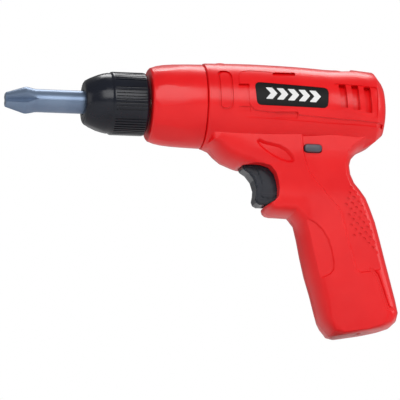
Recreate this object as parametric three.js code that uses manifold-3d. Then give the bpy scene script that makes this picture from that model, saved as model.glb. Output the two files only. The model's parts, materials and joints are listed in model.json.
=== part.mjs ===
// A toy power drill with a pistol grip, in millimetres, +Z up.
// The spindle turns on the X axis: the flat tip of the bit is at the origin, and the drill lies towards +X.
// The two housing halves meet on the plane Y = 0. The left half is on -Y. The grip hangs towards -Z.
import * as THREE from "three";
import { mergeVertices } from "three/addons/utils/BufferGeometryUtils.js";
import Module from "manifold-3d";

const wasm = await Module();
wasm.setup();

// ---------------------------------------------------------------- driving dimensions

const gap = 0.3; // between pieces that rest on or drop into each other
const pressGap = 0.05; // radial, for a pin pressed into its hole
const runningGap = 0.1; // radial, for a shaft that turns in a bush
const wall = 2.4; // moulded wall of the housing halves
const roundSteps = 20; // facets round a small turned piece
const smallSteps = 10; // facets round a screw or a pin
const shellSteps = 32; // facets round the barrel

// Screwdriver bit
const bitTipRadius = 4.7;
const bitFlareX = 12;
const bitFlareRadius = 8.4;
const bitNeckX = 19;
const bitRadius = 7.2;
const bitEndX = 71.5;
const fluteEndX = 21; // where the four flutes run out

// Chuck
const chuckFrontX = 48.5;
const chuckFrontRadius = 13.6;
const chuckConeX = 63.5;
const chuckConeRadius = 18.7;
const sleeveRadius = 19.6;
const chuckRearX = 87.6;
const socketEndX = 74;
const chuckWebX = 76;
const sleeveRibs = 18;

// Nose collar
const noseFrontX = 88.5;
const noseRearX = 122;
const noseFrontRadius = 23.2;
const noseRearRadius = 26.1;
const noseSpigotRadius = 21;
const noseFlangeRadius = 23;
const noseHubRadius = 8.5;
const bushRadius = 5.95;
const noseHubEndX = 101;

// Spindle and gear train
const spindleRadius = 3;
const gearModule = 0.6;
const outputTeeth = 36;
const smallTeeth = 10;
const wheelTeeth = 28;
const pinionTeeth = 10;
const gearWidth = 4.6;
const axleRadius = 1;
const gearboxFrontX = 133;
const gearboxPlate = 3;
const gearboxInside = 14;
const gearboxRadius = 23.2;
const postRadius = 3;
const postCircle = 18.5;

// Motor
const motorRadius = 10;
const motorFlat = 7.55;
const motorLength = 25;
const motorCapLength = 3;
const motorShaftRadius = 1;

// Barrel of the housing
const barrelFrontX = 122.3;
const barrelRadius = 27.1; // at the front ring
const barrelSwell = 0.4; // the barrel is this much fuller over the gearbox
const barrelRearX = 239.5;
const barrelRearRadius = 23.6;

// Lower body and grip
const bodyHalfWidth = 18.5;
const gripHalfWidth = 17;
const gripLean = 14; // degrees from upright
const gripX = 204; // origin of the grip's own frame
const gripZ = -63;
const gripFront = -27.4;
const gripRear = 25.7;
const gripBase = -82.3;
const gripCorner = 9;
const spurHalfWidth = 14.6;

// Trigger and switches
const triggerHalfWidth = 8.5;
const triggerRearX = 173;
const triggerTopZ = -41.5;
const triggerKeelZ = -57.5;
const triggerTravel = 5;
const earDepth = 3.4;
const springRadius = 3;
const springWire = 0.35;
const springZ = -50;
const boardZ = -36.5;
const boardThickness = 1.5;
const barX = 189.7;
const barZ = -27.5;
const barHalfLength = 5.4;
const barHalfHeight = 2.4;
const barProud = 1.4;
const barTravel = 3;

// Batteries and their tray
const cellRadius = 7.25;
const cellLength = 50.5;
const cellPitch = 14.8;
const trayWall = 1.2;
const trayTop = -8;
const trayInside = 58.6;
const trayBack = -7.55;
const trayFront = 6;

// Battery door
const doorThickness = 2;
const doorHalfWidth = 21.8;
const doorTop = 3;
const doorHinge = -69;
const doorEdgeRadius = 1;
const tongueLength = 2.8;

// Housing screws: places on the side view
const screwPlaces = [[196, 14], [229, 4], [135.5, -30], [213, -30], [172, -64], [212.5, -47], [221.3, -135.4]];
const screwRadius = 1.15;
const screwHeadRadius = 2.8;
const screwHeadY = 8.3;
const screwHeadHeight = 2;
const bossRadius = 3.2;
const counterboreWall = 1.2;

// Label plate
const plateX = 173.5;
const plateZ = 3.6;
const plateHalfLength = 22.6;
const plateHalfHeight = 6.6;
const plateThickness = 1.2;

// Cooling slots
const ventXs = [206, 214, 222];
const ventTopZ = 11.4;
const ventHeight = 15;
const ventWidth = 3.7;

// ---------------------------------------------------------------- solids from three.js shapes

function toSolid(geometry) {
  geometry.deleteAttribute("normal");
  geometry.deleteAttribute("uv");
  const merged = mergeVertices(geometry, 1e-4);
  const index = merged.index.array;
  const build = (turned) => {
    const triangles = [];
    for (let i = 0; i < index.length; i += 3) {
      const [a, b, c] = [index[i], index[i + 1], index[i + 2]];
      if (a !== b && b !== c && c !== a) triangles.push(a, turned ? c : b, turned ? b : c);
    }
    const vertProperties = merged.attributes.position.array;
    return new wasm.Manifold(new wasm.Mesh({ numProp: 3, vertProperties, triVerts: new Uint32Array(triangles) }));
  };
  const made = build(false);
  return made.volume() < 0 ? build(true) : made;
}

function toGeometry(solid) {
  const { vertProperties, triVerts } = solid.getMesh();
  const geometry = new THREE.BufferGeometry();
  geometry.setAttribute("position", new THREE.BufferAttribute(vertProperties, 3));
  geometry.setIndex(new THREE.BufferAttribute(triVerts, 1));
  geometry.computeVertexNormals();
  return geometry;
}

// A body turned about the X axis from [x, radius] points.
function turned(profile, steps = roundSteps) {
  const geometry = new THREE.LatheGeometry(profile.map(([x, r]) => new THREE.Vector2(r, x)), steps);
  geometry.rotateZ(-Math.PI / 2);
  return toSolid(geometry);
}

// An outline on the side view, [x, z], carried across from one Y to another.
function across(outline, fromY, toY) {
  const shape = new THREE.Shape(outline.map(([x, z]) => new THREE.Vector2(x, z)));
  const geometry = new THREE.ExtrudeGeometry(shape, { depth: toY - fromY, bevelEnabled: false });
  geometry.rotateX(Math.PI / 2);
  geometry.translate(0, toY, 0);
  return toSolid(geometry);
}

// An outline on the end view, [y, z], carried along X.
function along(outline, fromX, toX) {
  const shape = new THREE.Shape(outline.map(([y, z]) => new THREE.Vector2(y, z)));
  const geometry = new THREE.ExtrudeGeometry(shape, { depth: toX - fromX, bevelEnabled: false });
  const turn = new THREE.Matrix4().makeBasis(
    new THREE.Vector3(0, 1, 0),
    new THREE.Vector3(0, 0, 1),
    new THREE.Vector3(1, 0, 0),
  );
  geometry.applyMatrix4(turn);
  geometry.translate(fromX, 0, 0);
  return toSolid(geometry);
}

// An outline on the plan view, [x, y], carried up.
function upward(outline, fromZ, toZ) {
  const shape = new THREE.Shape(outline.map(([x, y]) => new THREE.Vector2(x, y)));
  const geometry = new THREE.ExtrudeGeometry(shape, { depth: toZ - fromZ, bevelEnabled: false });
  geometry.translate(0, 0, fromZ);
  return toSolid(geometry);
}

function block(x0, x1, y0, y1, z0, z1) {
  const geometry = new THREE.BoxGeometry(x1 - x0, y1 - y0, z1 - z0);
  geometry.translate((x0 + x1) / 2, (y0 + y1) / 2, (z0 + z1) / 2);
  return toSolid(geometry);
}

function circle(a, b, radius, steps = roundSteps) {
  return Array.from({ length: steps }, (_, i) => {
    const angle = (i * 2 * Math.PI) / steps;
    return [a + radius * Math.cos(angle), b + radius * Math.sin(angle)];
  });
}

function arcPoints(a, b, radius, fromDegrees, toDegrees, steps) {
  return Array.from({ length: steps + 1 }, (_, i) => {
    const angle = THREE.MathUtils.degToRad(fromDegrees + ((toDegrees - fromDegrees) * i) / steps);
    return [a + radius * Math.cos(angle), b + radius * Math.sin(angle)];
  });
}

function roundedBox(a0, a1, b0, b1, radius, steps = 4) {
  return [
    ...arcPoints(a1 - radius, b0 + radius, radius, -90, 0, steps),
    ...arcPoints(a1 - radius, b1 - radius, radius, 0, 90, steps),
    ...arcPoints(a0 + radius, b1 - radius, radius, 90, 180, steps),
    ...arcPoints(a0 + radius, b0 + radius, radius, 180, 270, steps),
  ];
}

const rodX = (x0, x1, radius, y = 0, z = 0, steps = roundSteps) => along(circle(y, z, radius, steps), x0, x1);
const rodY = (x, z, radius, y0, y1, steps = roundSteps) => across(circle(x, z, radius, steps), y0, y1);

// The same outline with every edge moved inwards.
function insetOutline(outline, distance) {
  const count = outline.length;
  const area = outline.reduce((sum, [x, z], i) => {
    const [nx, nz] = outline[(i + 1) % count];
    return sum + x * nz - nx * z;
  }, 0);
  const side = area > 0 ? 1 : -1;
  const edges = outline.map(([x, z], i) => {
    const [nx, nz] = outline[(i + 1) % count];
    const length = Math.hypot(nx - x, nz - z);
    const [dx, dz] = [(nx - x) / length, (nz - z) / length];
    return { x: x - dz * side * distance, z: z + dx * side * distance, dx, dz };
  });
  return edges.map((edge, i) => {
    const last = edges[(i + count - 1) % count];
    const cross = last.dx * edge.dz - last.dz * edge.dx;
    if (Math.abs(cross) < 1e-6) return [edge.x, edge.z];
    const reach = ((edge.x - last.x) * edge.dz - (edge.z - last.z) * edge.dx) / cross;
    return [last.x + last.dx * reach, last.z + last.dz * reach];
  });
}

const joined = (solids) => solids.reduce((sum, solid) => sum.add(solid));
const cutFrom = (solid, cutters) => cutters.reduce((rest, cutter) => rest.subtract(cutter), solid);

// ---------------------------------------------------------------- the grip's own frame

const gripTurn = new THREE.Matrix4()
  .makeRotationY(THREE.MathUtils.degToRad(-gripLean))
  .setPosition(gripX, 0, gripZ);

// A solid made in the grip's frame (X across the grip, Z up its axis), moved to its place on the drill.
function inGrip(solid) {
  return toSolid(toGeometry(solid).applyMatrix4(gripTurn));
}

const gripMiddle = (gripFront + gripRear) / 2;
const gripHalfDepth = (gripRear - gripFront) / 2;

// ---------------------------------------------------------------- housing outlines

function barrel(inset) {
  const rearLean = 0.7; // how much of the inset the sloping rear edge takes
  return turned([
    [barrelFrontX + inset * 0.95, 0],
    [barrelFrontX + inset * 0.95, barrelRadius - 1.9 - inset],
    [barrelFrontX + 0.9 + inset * 0.95, barrelRadius - inset],
    [barrelFrontX + 28.7, barrelRadius + barrelSwell - inset],
    [barrelFrontX + 52.7, barrelRadius - inset],
    [barrelFrontX + 80.7, barrelRearRadius + 1.5 - inset],
    [barrelRearX - 9.3 - inset * rearLean, barrelRearRadius - inset],
    [barrelRearX - 3.3 - inset, barrelRearRadius - 6.4 - inset * rearLean],
    [barrelRearX - inset, barrelRearRadius - 16.4 - inset * rearLean],
    [barrelRearX - inset, 0],
  ], shellSteps);
}

const bodyFrontX = barrelFrontX + 1;
const bodyRearX = barrelRearX - 1.5;
const bodyTopZ = -8;
const bodyFloorZ = -46;

const bodyOutline = [
  [bodyFrontX, bodyTopZ],
  [bodyFrontX, -27.2],
  [bodyFrontX + 5.2, -32.5],
  [bodyFrontX + 10.7, -36.9],
  [bodyFrontX + 18.2, -40.3],
  [bodyFrontX + 26, -42.6],
  [bodyFrontX + 36, -44.4],
  [bodyFrontX + 44, bodyFloorZ],
  [bodyRearX - 22.6, bodyFloorZ],
  [bodyRearX - 22.6, -37.6],
  [bodyRearX - 18, -29.4],
  [bodyRearX - 10, -24.6],
  [bodyRearX - 2.2, -14.8],
  [bodyRearX, bodyTopZ],
];

const bodyRearCorner = 14;
const keelHalfWidth = 9; // the front edge of the lower body is this wide, then slopes up to the sides
const keelSlope = 37; // degrees
const keelFacets = [
  { x: bodyFrontX + 5.2, z: -32.5, fall: 42 },
  { x: bodyFrontX + 18.2, z: -40.3, fall: 24 },
];

// Slopes both lower edges along one straight stretch of the front outline, which falls towards the rear.
function trimKeel(solid, facet, inset) {
  const fall = THREE.MathUtils.degToRad(facet.fall);
  const slope = THREE.MathUtils.degToRad(keelSlope);
  const edge = new THREE.Vector3(facet.x, keelHalfWidth, facet.z);
  const inward = new THREE.Vector3(Math.sin(fall) * Math.cos(slope), -Math.sin(slope), Math.cos(fall) * Math.cos(slope));
  const offset = inward.dot(edge) + inset;
  return solid
    .trimByPlane([inward.x, inward.y, inward.z], offset)
    .trimByPlane([inward.x, -inward.y, inward.z], offset);
}

// The lower body: its side view met by a section that narrows towards the grip.
function lowerBody(inset) {
  const section = [
    [bodyHalfWidth, bodyTopZ],
    [-bodyHalfWidth, bodyTopZ],
    [-bodyHalfWidth, -24],
    [-bodyHalfWidth + 1, -34],
    [-bodyHalfWidth + 5, -42],
    [-bodyHalfWidth + 9, bodyFloorZ],
    [bodyHalfWidth - 9, bodyFloorZ],
    [bodyHalfWidth - 5, -42],
    [bodyHalfWidth - 1, -34],
    [bodyHalfWidth, -24],
  ];
  const half = bodyHalfWidth - inset;
  const rearX = bodyRearX - inset;
  const side = across(insetOutline(bodyOutline, inset), -bodyHalfWidth, bodyHalfWidth);
  const corner = bodyRearCorner - inset;
  const plan = upward(roundedBox(bodyFrontX - 2 * corner, rearX, -half, half, corner, 5), bodyFloorZ - 1, 0);
  return keelFacets.reduce(
    (body, facet) => trimKeel(body, facet, inset),
    side.intersect(along(insetOutline(section, inset), bodyFrontX, bodyRearX)).intersect(plan),
  );
}

const gripOutline = [
  [gripFront, 27],
  [gripFront, -68],
  [gripFront + 1.2, -73],
  [gripFront + 4.4, -78.8],
  [gripFront + 12, gripBase],
  [gripRear - 11, gripBase],
  [gripRear - 3.6, -79],
  [gripRear, -72.5],
  [gripRear, -5.6],
  [gripRear - 4.4, 5.6],
  [gripRear - 8.3, 14],
  [gripRear - 8.3, 22],
  [gripRear - 6, 27],
];

// The grip, in its own frame: its side view met by a rounded section.
function gripColumn(inset) {
  const depth = gripHalfDepth - inset;
  const width = gripHalfWidth - inset;
  const corner = gripCorner - inset;
  const section = roundedBox(gripMiddle - depth, gripMiddle + depth, -width, width, corner, 5);
  const side = across(insetOutline(gripOutline, inset), -gripHalfWidth, gripHalfWidth);
  return side.intersect(upward(section, gripBase - 1, 28));
}

// The finger rest under the trigger and the short wall behind it.
const spurOutline = [
  [158.5, -38],
  [160, -43],
  [163.5, -46],
  [166, -54],
  [162.6, -60.2],
  [160.8, -64.3],
  [161, -67.4],
  [163.6, -69.8],
  [178, -70.6],
  [196, -66],
  [200, -38],
];

function fingerRest(inset) {
  const half = spurHalfWidth - inset;
  const section = roundedBox(-half, half, -71 + inset, -36 - inset, 5 - inset * 0.8, 3);
  const side = across(insetOutline(spurOutline, inset), -half, half);
  return side.intersect(along(section, 150, 210));
}

const outerBody = (inset) => joined([barrel(inset), lowerBody(inset), inGrip(gripColumn(inset)), fingerRest(inset)]);

// ---------------------------------------------------------------- places that several pieces share

const idlerZ = (gearModule * (outputTeeth + smallTeeth)) / 2;
const motorZ = idlerZ - (gearModule * (wheelTeeth + pinionTeeth)) / 2;
const gearboxRearX = gearboxFrontX + gearboxPlate + gearboxInside;
const motorFrontX = gearboxRearX + gearboxPlate + gap;
const motorRearX = motorFrontX + motorLength;
const outputGearX = gearboxFrontX + gearboxPlate + 1.6;
const wheelX = outputGearX + gearWidth + 1.2;
const wheelWidth = 4;
const spindleEndX = outputGearX + gearWidth + 0.2;
const spindleFrontX = chuckWebX + pressGap;
const trayMiddle = gripMiddle;
const trayInnerHalf = cellPitch * 1.5;
const trayOuterHalf = trayInnerHalf + trayWall;
const trayFloor = trayTop - trayWall - trayInside;
const cellPlaces = [-1, 0, 1].map((k) => trayMiddle + k * cellPitch);
const doorAxisY = gripHalfWidth - doorEdgeRadius;
const doorScrewH = doorTop - 5.5;
const triggerSlotHalf = triggerHalfWidth + 0.8;

function stadium(x, z, halfLength, halfHeight) {
  const reach = halfLength - halfHeight;
  return [
    ...arcPoints(x + reach, z, halfHeight, -90, 90, 6),
    ...arcPoints(x - reach, z, halfHeight, 90, 270, 6),
  ];
}

const plateOutline = (grow) => roundedBox(
  plateX - plateHalfLength - grow,
  plateX + plateHalfLength + grow,
  plateZ - plateHalfHeight - grow,
  plateZ + plateHalfHeight + grow,
  2,
  3,
);

const motorOutline = (grow) => {
  const reach = motorRadius + grow;
  const flat = motorFlat + grow;
  const corner = THREE.MathUtils.radToDeg(Math.acos(flat / reach));
  return [
    ...arcPoints(0, motorZ, reach, corner, 180 - corner, 8),
    ...arcPoints(0, motorZ, reach, 180 + corner, 360 - corner, 8),
  ];
};

// ---------------------------------------------------------------- housing halves

function ringRib(x0, x1, innerRadius) {
  const disc = rodX(x0, x1, barrelRadius, 0, 0, shellSteps);
  return disc.subtract(rodX(x0 - 1, x1 + 1, innerRadius, 0, 0, shellSteps));
}

// Ribs moulded inside the halves, to carry the gearbox, trigger, spring, board and battery tray.
function innerRibs() {
  const full = bodyHalfWidth;
  const gearboxStop = gearboxFrontX - gap;
  const frameRear = gearboxRearX + gearboxPlate + gap;
  const trayRib = (t) => inGrip(block(t - 1, t + 1, -gripHalfWidth, trayBack - trayWall - gap, -64, -16));
  return [
    ringRib(gearboxStop - 2.2, gearboxStop, gearboxRadius - 2.6),
    ringRib(frameRear, frameRear + 2, gearboxRadius - 2.2),
    block(163, triggerRearX + triggerTravel, -full, full, triggerTopZ + gap, triggerTopZ + gap + 1.5),
    block(167, triggerRearX + triggerTravel, -full, full, triggerKeelZ - gap - 1.5, triggerKeelZ - gap),
    block(triggerRearX + 7.5, triggerRearX + 10, -full, full, springZ - 6, springZ + 4),
    block(183, 203, -full, -8, boardZ - gap - 1.5, boardZ - gap),
    block(183, 203, 8, full, boardZ - gap - 1.5, boardZ - gap),
    trayRib(-5),
    trayRib(11),
  ];
}

function screwBosses() {
  return screwPlaces.flatMap(([x, z]) => [
    rodY(x, z, bossRadius, -bodyHalfWidth - 8, 0, smallSteps),
    rodY(x, z, screwHeadRadius + gap + counterboreWall, 0, bodyHalfWidth + 8, smallSteps),
  ]);
}

function screwHoles() {
  return screwPlaces.flatMap(([x, z]) => [
    rodY(x, z, screwRadius + pressGap, screwHeadY - 20, 1, smallSteps),
    rodY(x, z, screwRadius + 0.45, 0, screwHeadY, smallSteps),
    rodY(x, z, screwHeadRadius + gap, screwHeadY - gap, bodyHalfWidth + 10, smallSteps),
  ]);
}

// The window in the right half that the battery door fills, in the grip's frame.
function doorWindow() {
  const half = doorHalfWidth + gap;
  const foot = doorHinge - doorEdgeRadius - gap;
  return block(trayMiddle - half, trayMiddle + half, 5, gripHalfWidth + 1, foot, doorTop + gap);
}

function housing() {
  const outer = outerBody(0);
  const hollow = outerBody(wall);
  const ribs = joined([...innerRibs(), ...screwBosses()]).intersect(outerBody(wall * 0.6));
  const slotHalf = triggerSlotHalf;
  const plateSeat = across(plateOutline(gap), -barrelRadius - 2, barrelRadius + 2)
    .subtract(barrel(plateThickness + gap));
  const vents = ventXs.map((x, i) => block(
    x - ventWidth / 2,
    x + ventWidth / 2,
    -barrelRadius,
    barrelRadius,
    ventTopZ - ventHeight - i * 0.8,
    ventTopZ - i * 0.6,
  ));
  const shell = cutFrom(outer.subtract(hollow).add(ribs), [
    rodX(barrelFrontX - 1, barrelFrontX + wall + 1, noseSpigotRadius + gap, 0, 0, shellSteps),
    block(145.4, triggerRearX - earDepth - gap, -slotHalf, slotHalf, -63.9, triggerTopZ + gap),
    across(stadium(barX, barZ, barHalfLength + 0.35, barHalfHeight + 0.35), -bodyHalfWidth - 2, bodyHalfWidth + 2),
    plateSeat,
    ...vents,
    ...screwHoles(),
  ]);
  return shell;
}

const wholeHousing = housing();
const farAway = 400;
const leftSpace = block(-farAway, farAway, -farAway, 0, -farAway, farAway);
const rightSpace = block(-farAway, farAway, 0, farAway, -farAway, farAway);

const largestOf = (solid) => solid.decompose().sort((a, b) => b.volume() - a.volume())[0];
const leftHousing = () => largestOf(wholeHousing.intersect(leftSpace));
const rightHousing = () => largestOf(wholeHousing.intersect(rightSpace).subtract(inGrip(doorWindow())));

// ---------------------------------------------------------------- nose, chuck, bit

function noseCollar() {
  const skin = 2.4;
  const flangeX = barrelFrontX + wall + 0.3 + gap;
  const flangeWidth = 2.4;
  const outside = turned([
    [noseFrontX, 0],
    [noseFrontX, noseFrontRadius - 1.6],
    [noseFrontX + 1.4, noseFrontRadius],
    [noseFrontX + 6, noseFrontRadius + 2],
    [noseFrontX + 16, noseFrontRadius + 2.8],
    [noseRearX, noseRearRadius],
    [noseRearX, noseSpigotRadius],
    [flangeX, noseSpigotRadius],
    [flangeX, noseFlangeRadius],
    [flangeX + flangeWidth, noseFlangeRadius],
    [flangeX + flangeWidth, 0],
  ], shellSteps);
  const inside = turned([
    [noseFrontX + skin, 0],
    [noseFrontX + skin, noseFrontRadius - 2.6],
    [noseFrontX + 8, noseSpigotRadius - skin],
    [flangeX + flangeWidth + 1, noseSpigotRadius - skin],
    [flangeX + flangeWidth + 1, 0],
  ], shellSteps).subtract(rodX(noseFrontX, noseHubEndX, noseHubRadius));
  return cutFrom(outside, [inside, rodX(noseFrontX - 1, noseHubEndX + 1, bushRadius + pressGap)]);
}

function noseBush() {
  const sleeve = rodX(noseFrontX + 0.6, noseHubEndX, bushRadius);
  return sleeve.subtract(rodX(noseFrontX, noseHubEndX + 1, spindleRadius + runningGap));
}

function chuckSleeve() {
  const outside = turned([
    [chuckFrontX, 0],
    [chuckFrontX, chuckFrontRadius - 0.8],
    [chuckFrontX + 1, chuckFrontRadius],
    [chuckConeX, chuckConeRadius],
    [chuckConeX + 2.2, sleeveRadius],
    [chuckRearX - 2.4, sleeveRadius],
    [chuckRearX, sleeveRadius - 1.4],
    [chuckRearX, 0],
  ], sleeveRibs * 2);
  const grooves = Array.from({ length: sleeveRibs }, (_, i) => {
    const angle = ((i + 0.5) * 2 * Math.PI) / sleeveRibs;
    const reach = sleeveRadius + 0.35;
    return rodX(chuckConeX + 3, chuckRearX - 3.4, 1, reach * Math.cos(angle), reach * Math.sin(angle), 6);
  });
  const rearRecess = rodX(socketEndX + 7, chuckRearX + 1, 14).subtract(rodX(socketEndX, chuckRearX + 2, 6.2));
  return cutFrom(outside, [
    ...grooves,
    rearRecess,
    rodX(chuckFrontX - 1, socketEndX, bitRadius + gap),
    rodX(socketEndX - 1, chuckWebX + 1, 1.6),
    rodX(chuckWebX, chuckRearX + 1, spindleRadius + pressGap),
  ]);
}

// A pan-head screw lying along X, its head towards -X, with a cross recess.
function screwAlongX(headX, headRadius, headHeight, shankRadius, length, y = 0, z = 0) {
  const head = rodX(headX, headX + headHeight, headRadius, y, z, smallSteps);
  const shank = rodX(headX + headHeight - 0.1, headX + headHeight + length, shankRadius, y, z, smallSteps);
  const slot = headRadius * 0.6;
  const recess = block(headX - 1, headX + headHeight * 0.5, y - slot, y + slot, z - 0.3, z + 0.3)
    .add(block(headX - 1, headX + headHeight * 0.5, y - 0.3, y + 0.3, z - slot, z + slot));
  return head.add(shank).subtract(recess);
}

const chuckScrew = () => screwAlongX(socketEndX - 1.8 - pressGap, 3, 1.8, 1.5, 11);

function screwdriverBit() {
  const body = turned([
    [0, 0],
    [0, bitTipRadius],
    [bitFlareX, bitFlareRadius],
    [bitFlareX + 1.5, bitFlareRadius],
    [bitNeckX, bitRadius],
    [bitEndX, bitRadius],
    [bitEndX, 0],
  ]);
  const core = 1.2; // half the web left between opposite flutes at the tip
  const spread = 44;
  const reach = 20;
  const fluteSlope = Math.atan((bitFlareRadius - core) / fluteEndX);
  const flutes = [45, 135, 225, 315].map((degrees) => {
    const [low, middle, high] = [-spread, 0, spread].map((turn) => THREE.MathUtils.degToRad(degrees + turn));
    const wedge = along([
      [core * Math.cos(middle), core * Math.sin(middle)],
      [reach * Math.cos(low), reach * Math.sin(low)],
      [reach * Math.cos(high), reach * Math.sin(high)],
    ], -2, fluteEndX + 4);
    const tilt = new THREE.Vector3(0, -Math.sin(middle), Math.cos(middle));
    return toSolid(toGeometry(wedge).applyMatrix4(new THREE.Matrix4().makeRotationAxis(tilt, fluteSlope)));
  });
  return cutFrom(body, flutes);
}

function outputSpindle() {
  const shaft = rodX(spindleFrontX, spindleEndX, spindleRadius);
  return shaft.subtract(rodX(spindleFrontX - 1, spindleFrontX + 11.5, 1.5 + pressGap, 0, 0, smallSteps));
}

// ---------------------------------------------------------------- gears

// Outline of an involute spur gear on the end view, with one tooth at the given angle.
function gearOutline(teeth, y, z, toothDegrees) {
  const pressure = THREE.MathUtils.degToRad(20);
  const involute = (angle) => Math.tan(angle) - angle;
  const pitch = (gearModule * teeth) / 2;
  const base = pitch * Math.cos(pressure);
  const tip = pitch + gearModule * 0.85;
  const root = pitch - gearModule * 1.3;
  const backlash = 0.14;
  const halfTooth = Math.PI / (2 * teeth) - backlash / (2 * pitch);
  const halfAt = (radius) => halfTooth + involute(pressure) - involute(Math.acos(Math.min(1, base / radius)));
  const flank = [root, pitch, tip];
  const point = (middle, radius, side) => {
    const angle = middle + side * halfAt(Math.max(radius, base));
    return [y + radius * Math.cos(angle), z + radius * Math.sin(angle)];
  };
  return Array.from({ length: teeth }, (_, i) => {
    const middle = THREE.MathUtils.degToRad(toothDegrees) + (i * 2 * Math.PI) / teeth;
    const rising = flank.map((radius) => point(middle, radius, -1));
    const falling = flank.map((radius) => point(middle, radius, 1)).reverse();
    return [...rising, ...falling];
  }).flat();
}

const gear = (teeth, x0, x1, z, toothDegrees) => along(gearOutline(teeth, 0, z, toothDegrees), x0, x1);

function outputGear() {
  const wheel = gear(outputTeeth, outputGearX, outputGearX + gearWidth, 0, 90);
  const hub = rodX(outputGearX - 1, outputGearX + gearWidth, 5);
  return wheel.add(hub).subtract(rodX(outputGearX - 2, outputGearX + gearWidth + 1, spindleRadius + pressGap));
}

function compoundGear() {
  const hubFront = gearboxFrontX + gearboxPlate + gap;
  const hubRear = gearboxRearX - gap;
  const halfPitch = 180 / smallTeeth;
  return joined([
    gear(smallTeeth, outputGearX - 0.2, wheelX + 1, idlerZ, -90 + halfPitch),
    gear(wheelTeeth, wheelX, wheelX + wheelWidth, idlerZ, -90),
    rodX(hubFront, hubRear, 2, 0, idlerZ),
  ]).subtract(rodX(hubFront - 1, hubRear + 1, axleRadius + runningGap, 0, idlerZ));
}

const pinionX0 = wheelX - 0.3;
const pinionX1 = wheelX + wheelWidth + 0.3;

function motorPinion() {
  const toothed = gear(pinionTeeth, pinionX0, pinionX1, motorZ, 90 + 180 / pinionTeeth);
  return toothed.subtract(rodX(pinionX0 - 1, pinionX1 + 1, motorShaftRadius + pressGap, 0, motorZ, smallSteps));
}

// ---------------------------------------------------------------- gearbox and motor

const postPlaces = [20, 160, 270].map((degrees) => {
  const angle = THREE.MathUtils.degToRad(degrees);
  return [postCircle * Math.cos(angle), postCircle * Math.sin(angle)];
});

const boxBushRadius = 5;

function gearboxFrontPlate() {
  const plate = rodX(gearboxFrontX, gearboxFrontX + gearboxPlate, gearboxRadius, 0, 0, shellSteps);
  return cutFrom(plate, [
    rodX(gearboxFrontX - 1, gearboxFrontX + 5, boxBushRadius + pressGap),
    rodX(gearboxFrontX + 1, gearboxFrontX + 5, axleRadius + pressGap, 0, idlerZ, smallSteps),
    ...postPlaces.map(([y, z]) => rodX(gearboxFrontX - 1, gearboxFrontX + 5, 1.35, y, z, smallSteps)),
  ]);
}

function spindleBush() {
  const body = rodX(gearboxFrontX - 1.5, gearboxFrontX + gearboxPlate, boxBushRadius);
  return body.subtract(rodX(gearboxFrontX - 2, gearboxFrontX + 5, spindleRadius + runningGap));
}

function gearboxRearFrame() {
  const plate = rodX(gearboxRearX, gearboxRearX + gearboxPlate, gearboxRadius, 0, 0, shellSteps);
  const posts = postPlaces.map(([y, z]) => rodX(
    gearboxFrontX + gearboxPlate + gap,
    gearboxRearX + 1,
    postRadius,
    y,
    z,
    smallSteps,
  ));
  const cradle = along(motorOutline(gap + 1.6), gearboxRearX + 1, motorFrontX + 11)
    .subtract(along(motorOutline(gap), motorFrontX - gap, motorFrontX + 12));
  return cutFrom(joined([plate, ...posts, cradle]), [
    rodX(gearboxRearX - 1, motorFrontX + 1, 3.1, 0, motorZ),
    rodX(gearboxRearX - 1, gearboxRearX + 2.2, axleRadius + pressGap, 0, idlerZ, smallSteps),
    ...postPlaces.map(([y, z]) => rodX(gearboxFrontX, gearboxRearX - 3, 1 + pressGap, y, z, smallSteps)),
  ]);
}

const gearboxScrew = (place) => screwAlongX(gearboxFrontX - 1.4 - pressGap, 2, 1.4, 1, 13, ...postPlaces[place]);

const idlerAxle = () => rodX(
  gearboxFrontX + 1 + pressGap,
  gearboxRearX + 2.2 - pressGap,
  axleRadius,
  0,
  idlerZ,
  smallSteps,
);

function motorCan() {
  const can = along(motorOutline(0), motorFrontX, motorRearX);
  const nose = rodX(motorFrontX - 1.5, motorFrontX + 1, 3.1 - pressGap, 0, motorZ);
  return can.add(nose).subtract(rodX(motorFrontX - 3, motorRearX + 1, motorShaftRadius + 0.4, 0, motorZ, smallSteps));
}

function motorEndCap() {
  const cap = along(motorOutline(-0.6), motorRearX + pressGap, motorRearX + motorCapLength);
  const hub = rodX(motorRearX + 1, motorRearX + motorCapLength + 1.4, 3, 0, motorZ);
  return cap.add(hub).subtract(rodX(motorRearX - 1, motorRearX + 6, motorShaftRadius + 0.4, 0, motorZ, smallSteps));
}

const motorShaft = () => rodX(
  pinionX0,
  motorRearX + motorCapLength + 0.9,
  motorShaftRadius,
  0,
  motorZ,
  smallSteps,
);

// ---------------------------------------------------------------- trigger and switches

function trigger() {
  const finger = [
    [147.6, triggerTopZ],
    ...arcPoints(141.4, -54.6, 14, 52, -18, 7),
    [156.2, -62.4],
    [158.6, -63],
    [161.4, -60.4],
    [163.4, triggerKeelZ],
    [triggerRearX, triggerKeelZ],
    [triggerRearX, triggerTopZ],
  ];
  const ears = block(
    triggerRearX - earDepth,
    triggerRearX,
    -triggerHalfWidth - 2,
    triggerHalfWidth + 2,
    triggerKeelZ,
    triggerTopZ,
  );
  const pocket = rodX(triggerRearX - 8, triggerRearX + 1, springRadius + springWire + 0.6, 0, springZ);
  return across(finger, -triggerHalfWidth, triggerHalfWidth).add(ears).subtract(pocket);
}

// The path of a coil spring's wire, along X or, when upright, along Z.
class CoilPath extends THREE.Curve {
  constructor(start, direction, length, radius, turns) {
    super();
    Object.assign(this, { start, direction, length, radius, turns });
  }

  getPoint(share) {
    const angle = share * this.turns * 2 * Math.PI;
    const [a, b] = [this.radius * Math.cos(angle), this.radius * Math.sin(angle)];
    const offset = this.direction === "x"
      ? new THREE.Vector3(share * this.length, a, b)
      : new THREE.Vector3(a, b, share * this.length);
    return offset.add(this.start);
  }
}

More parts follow.
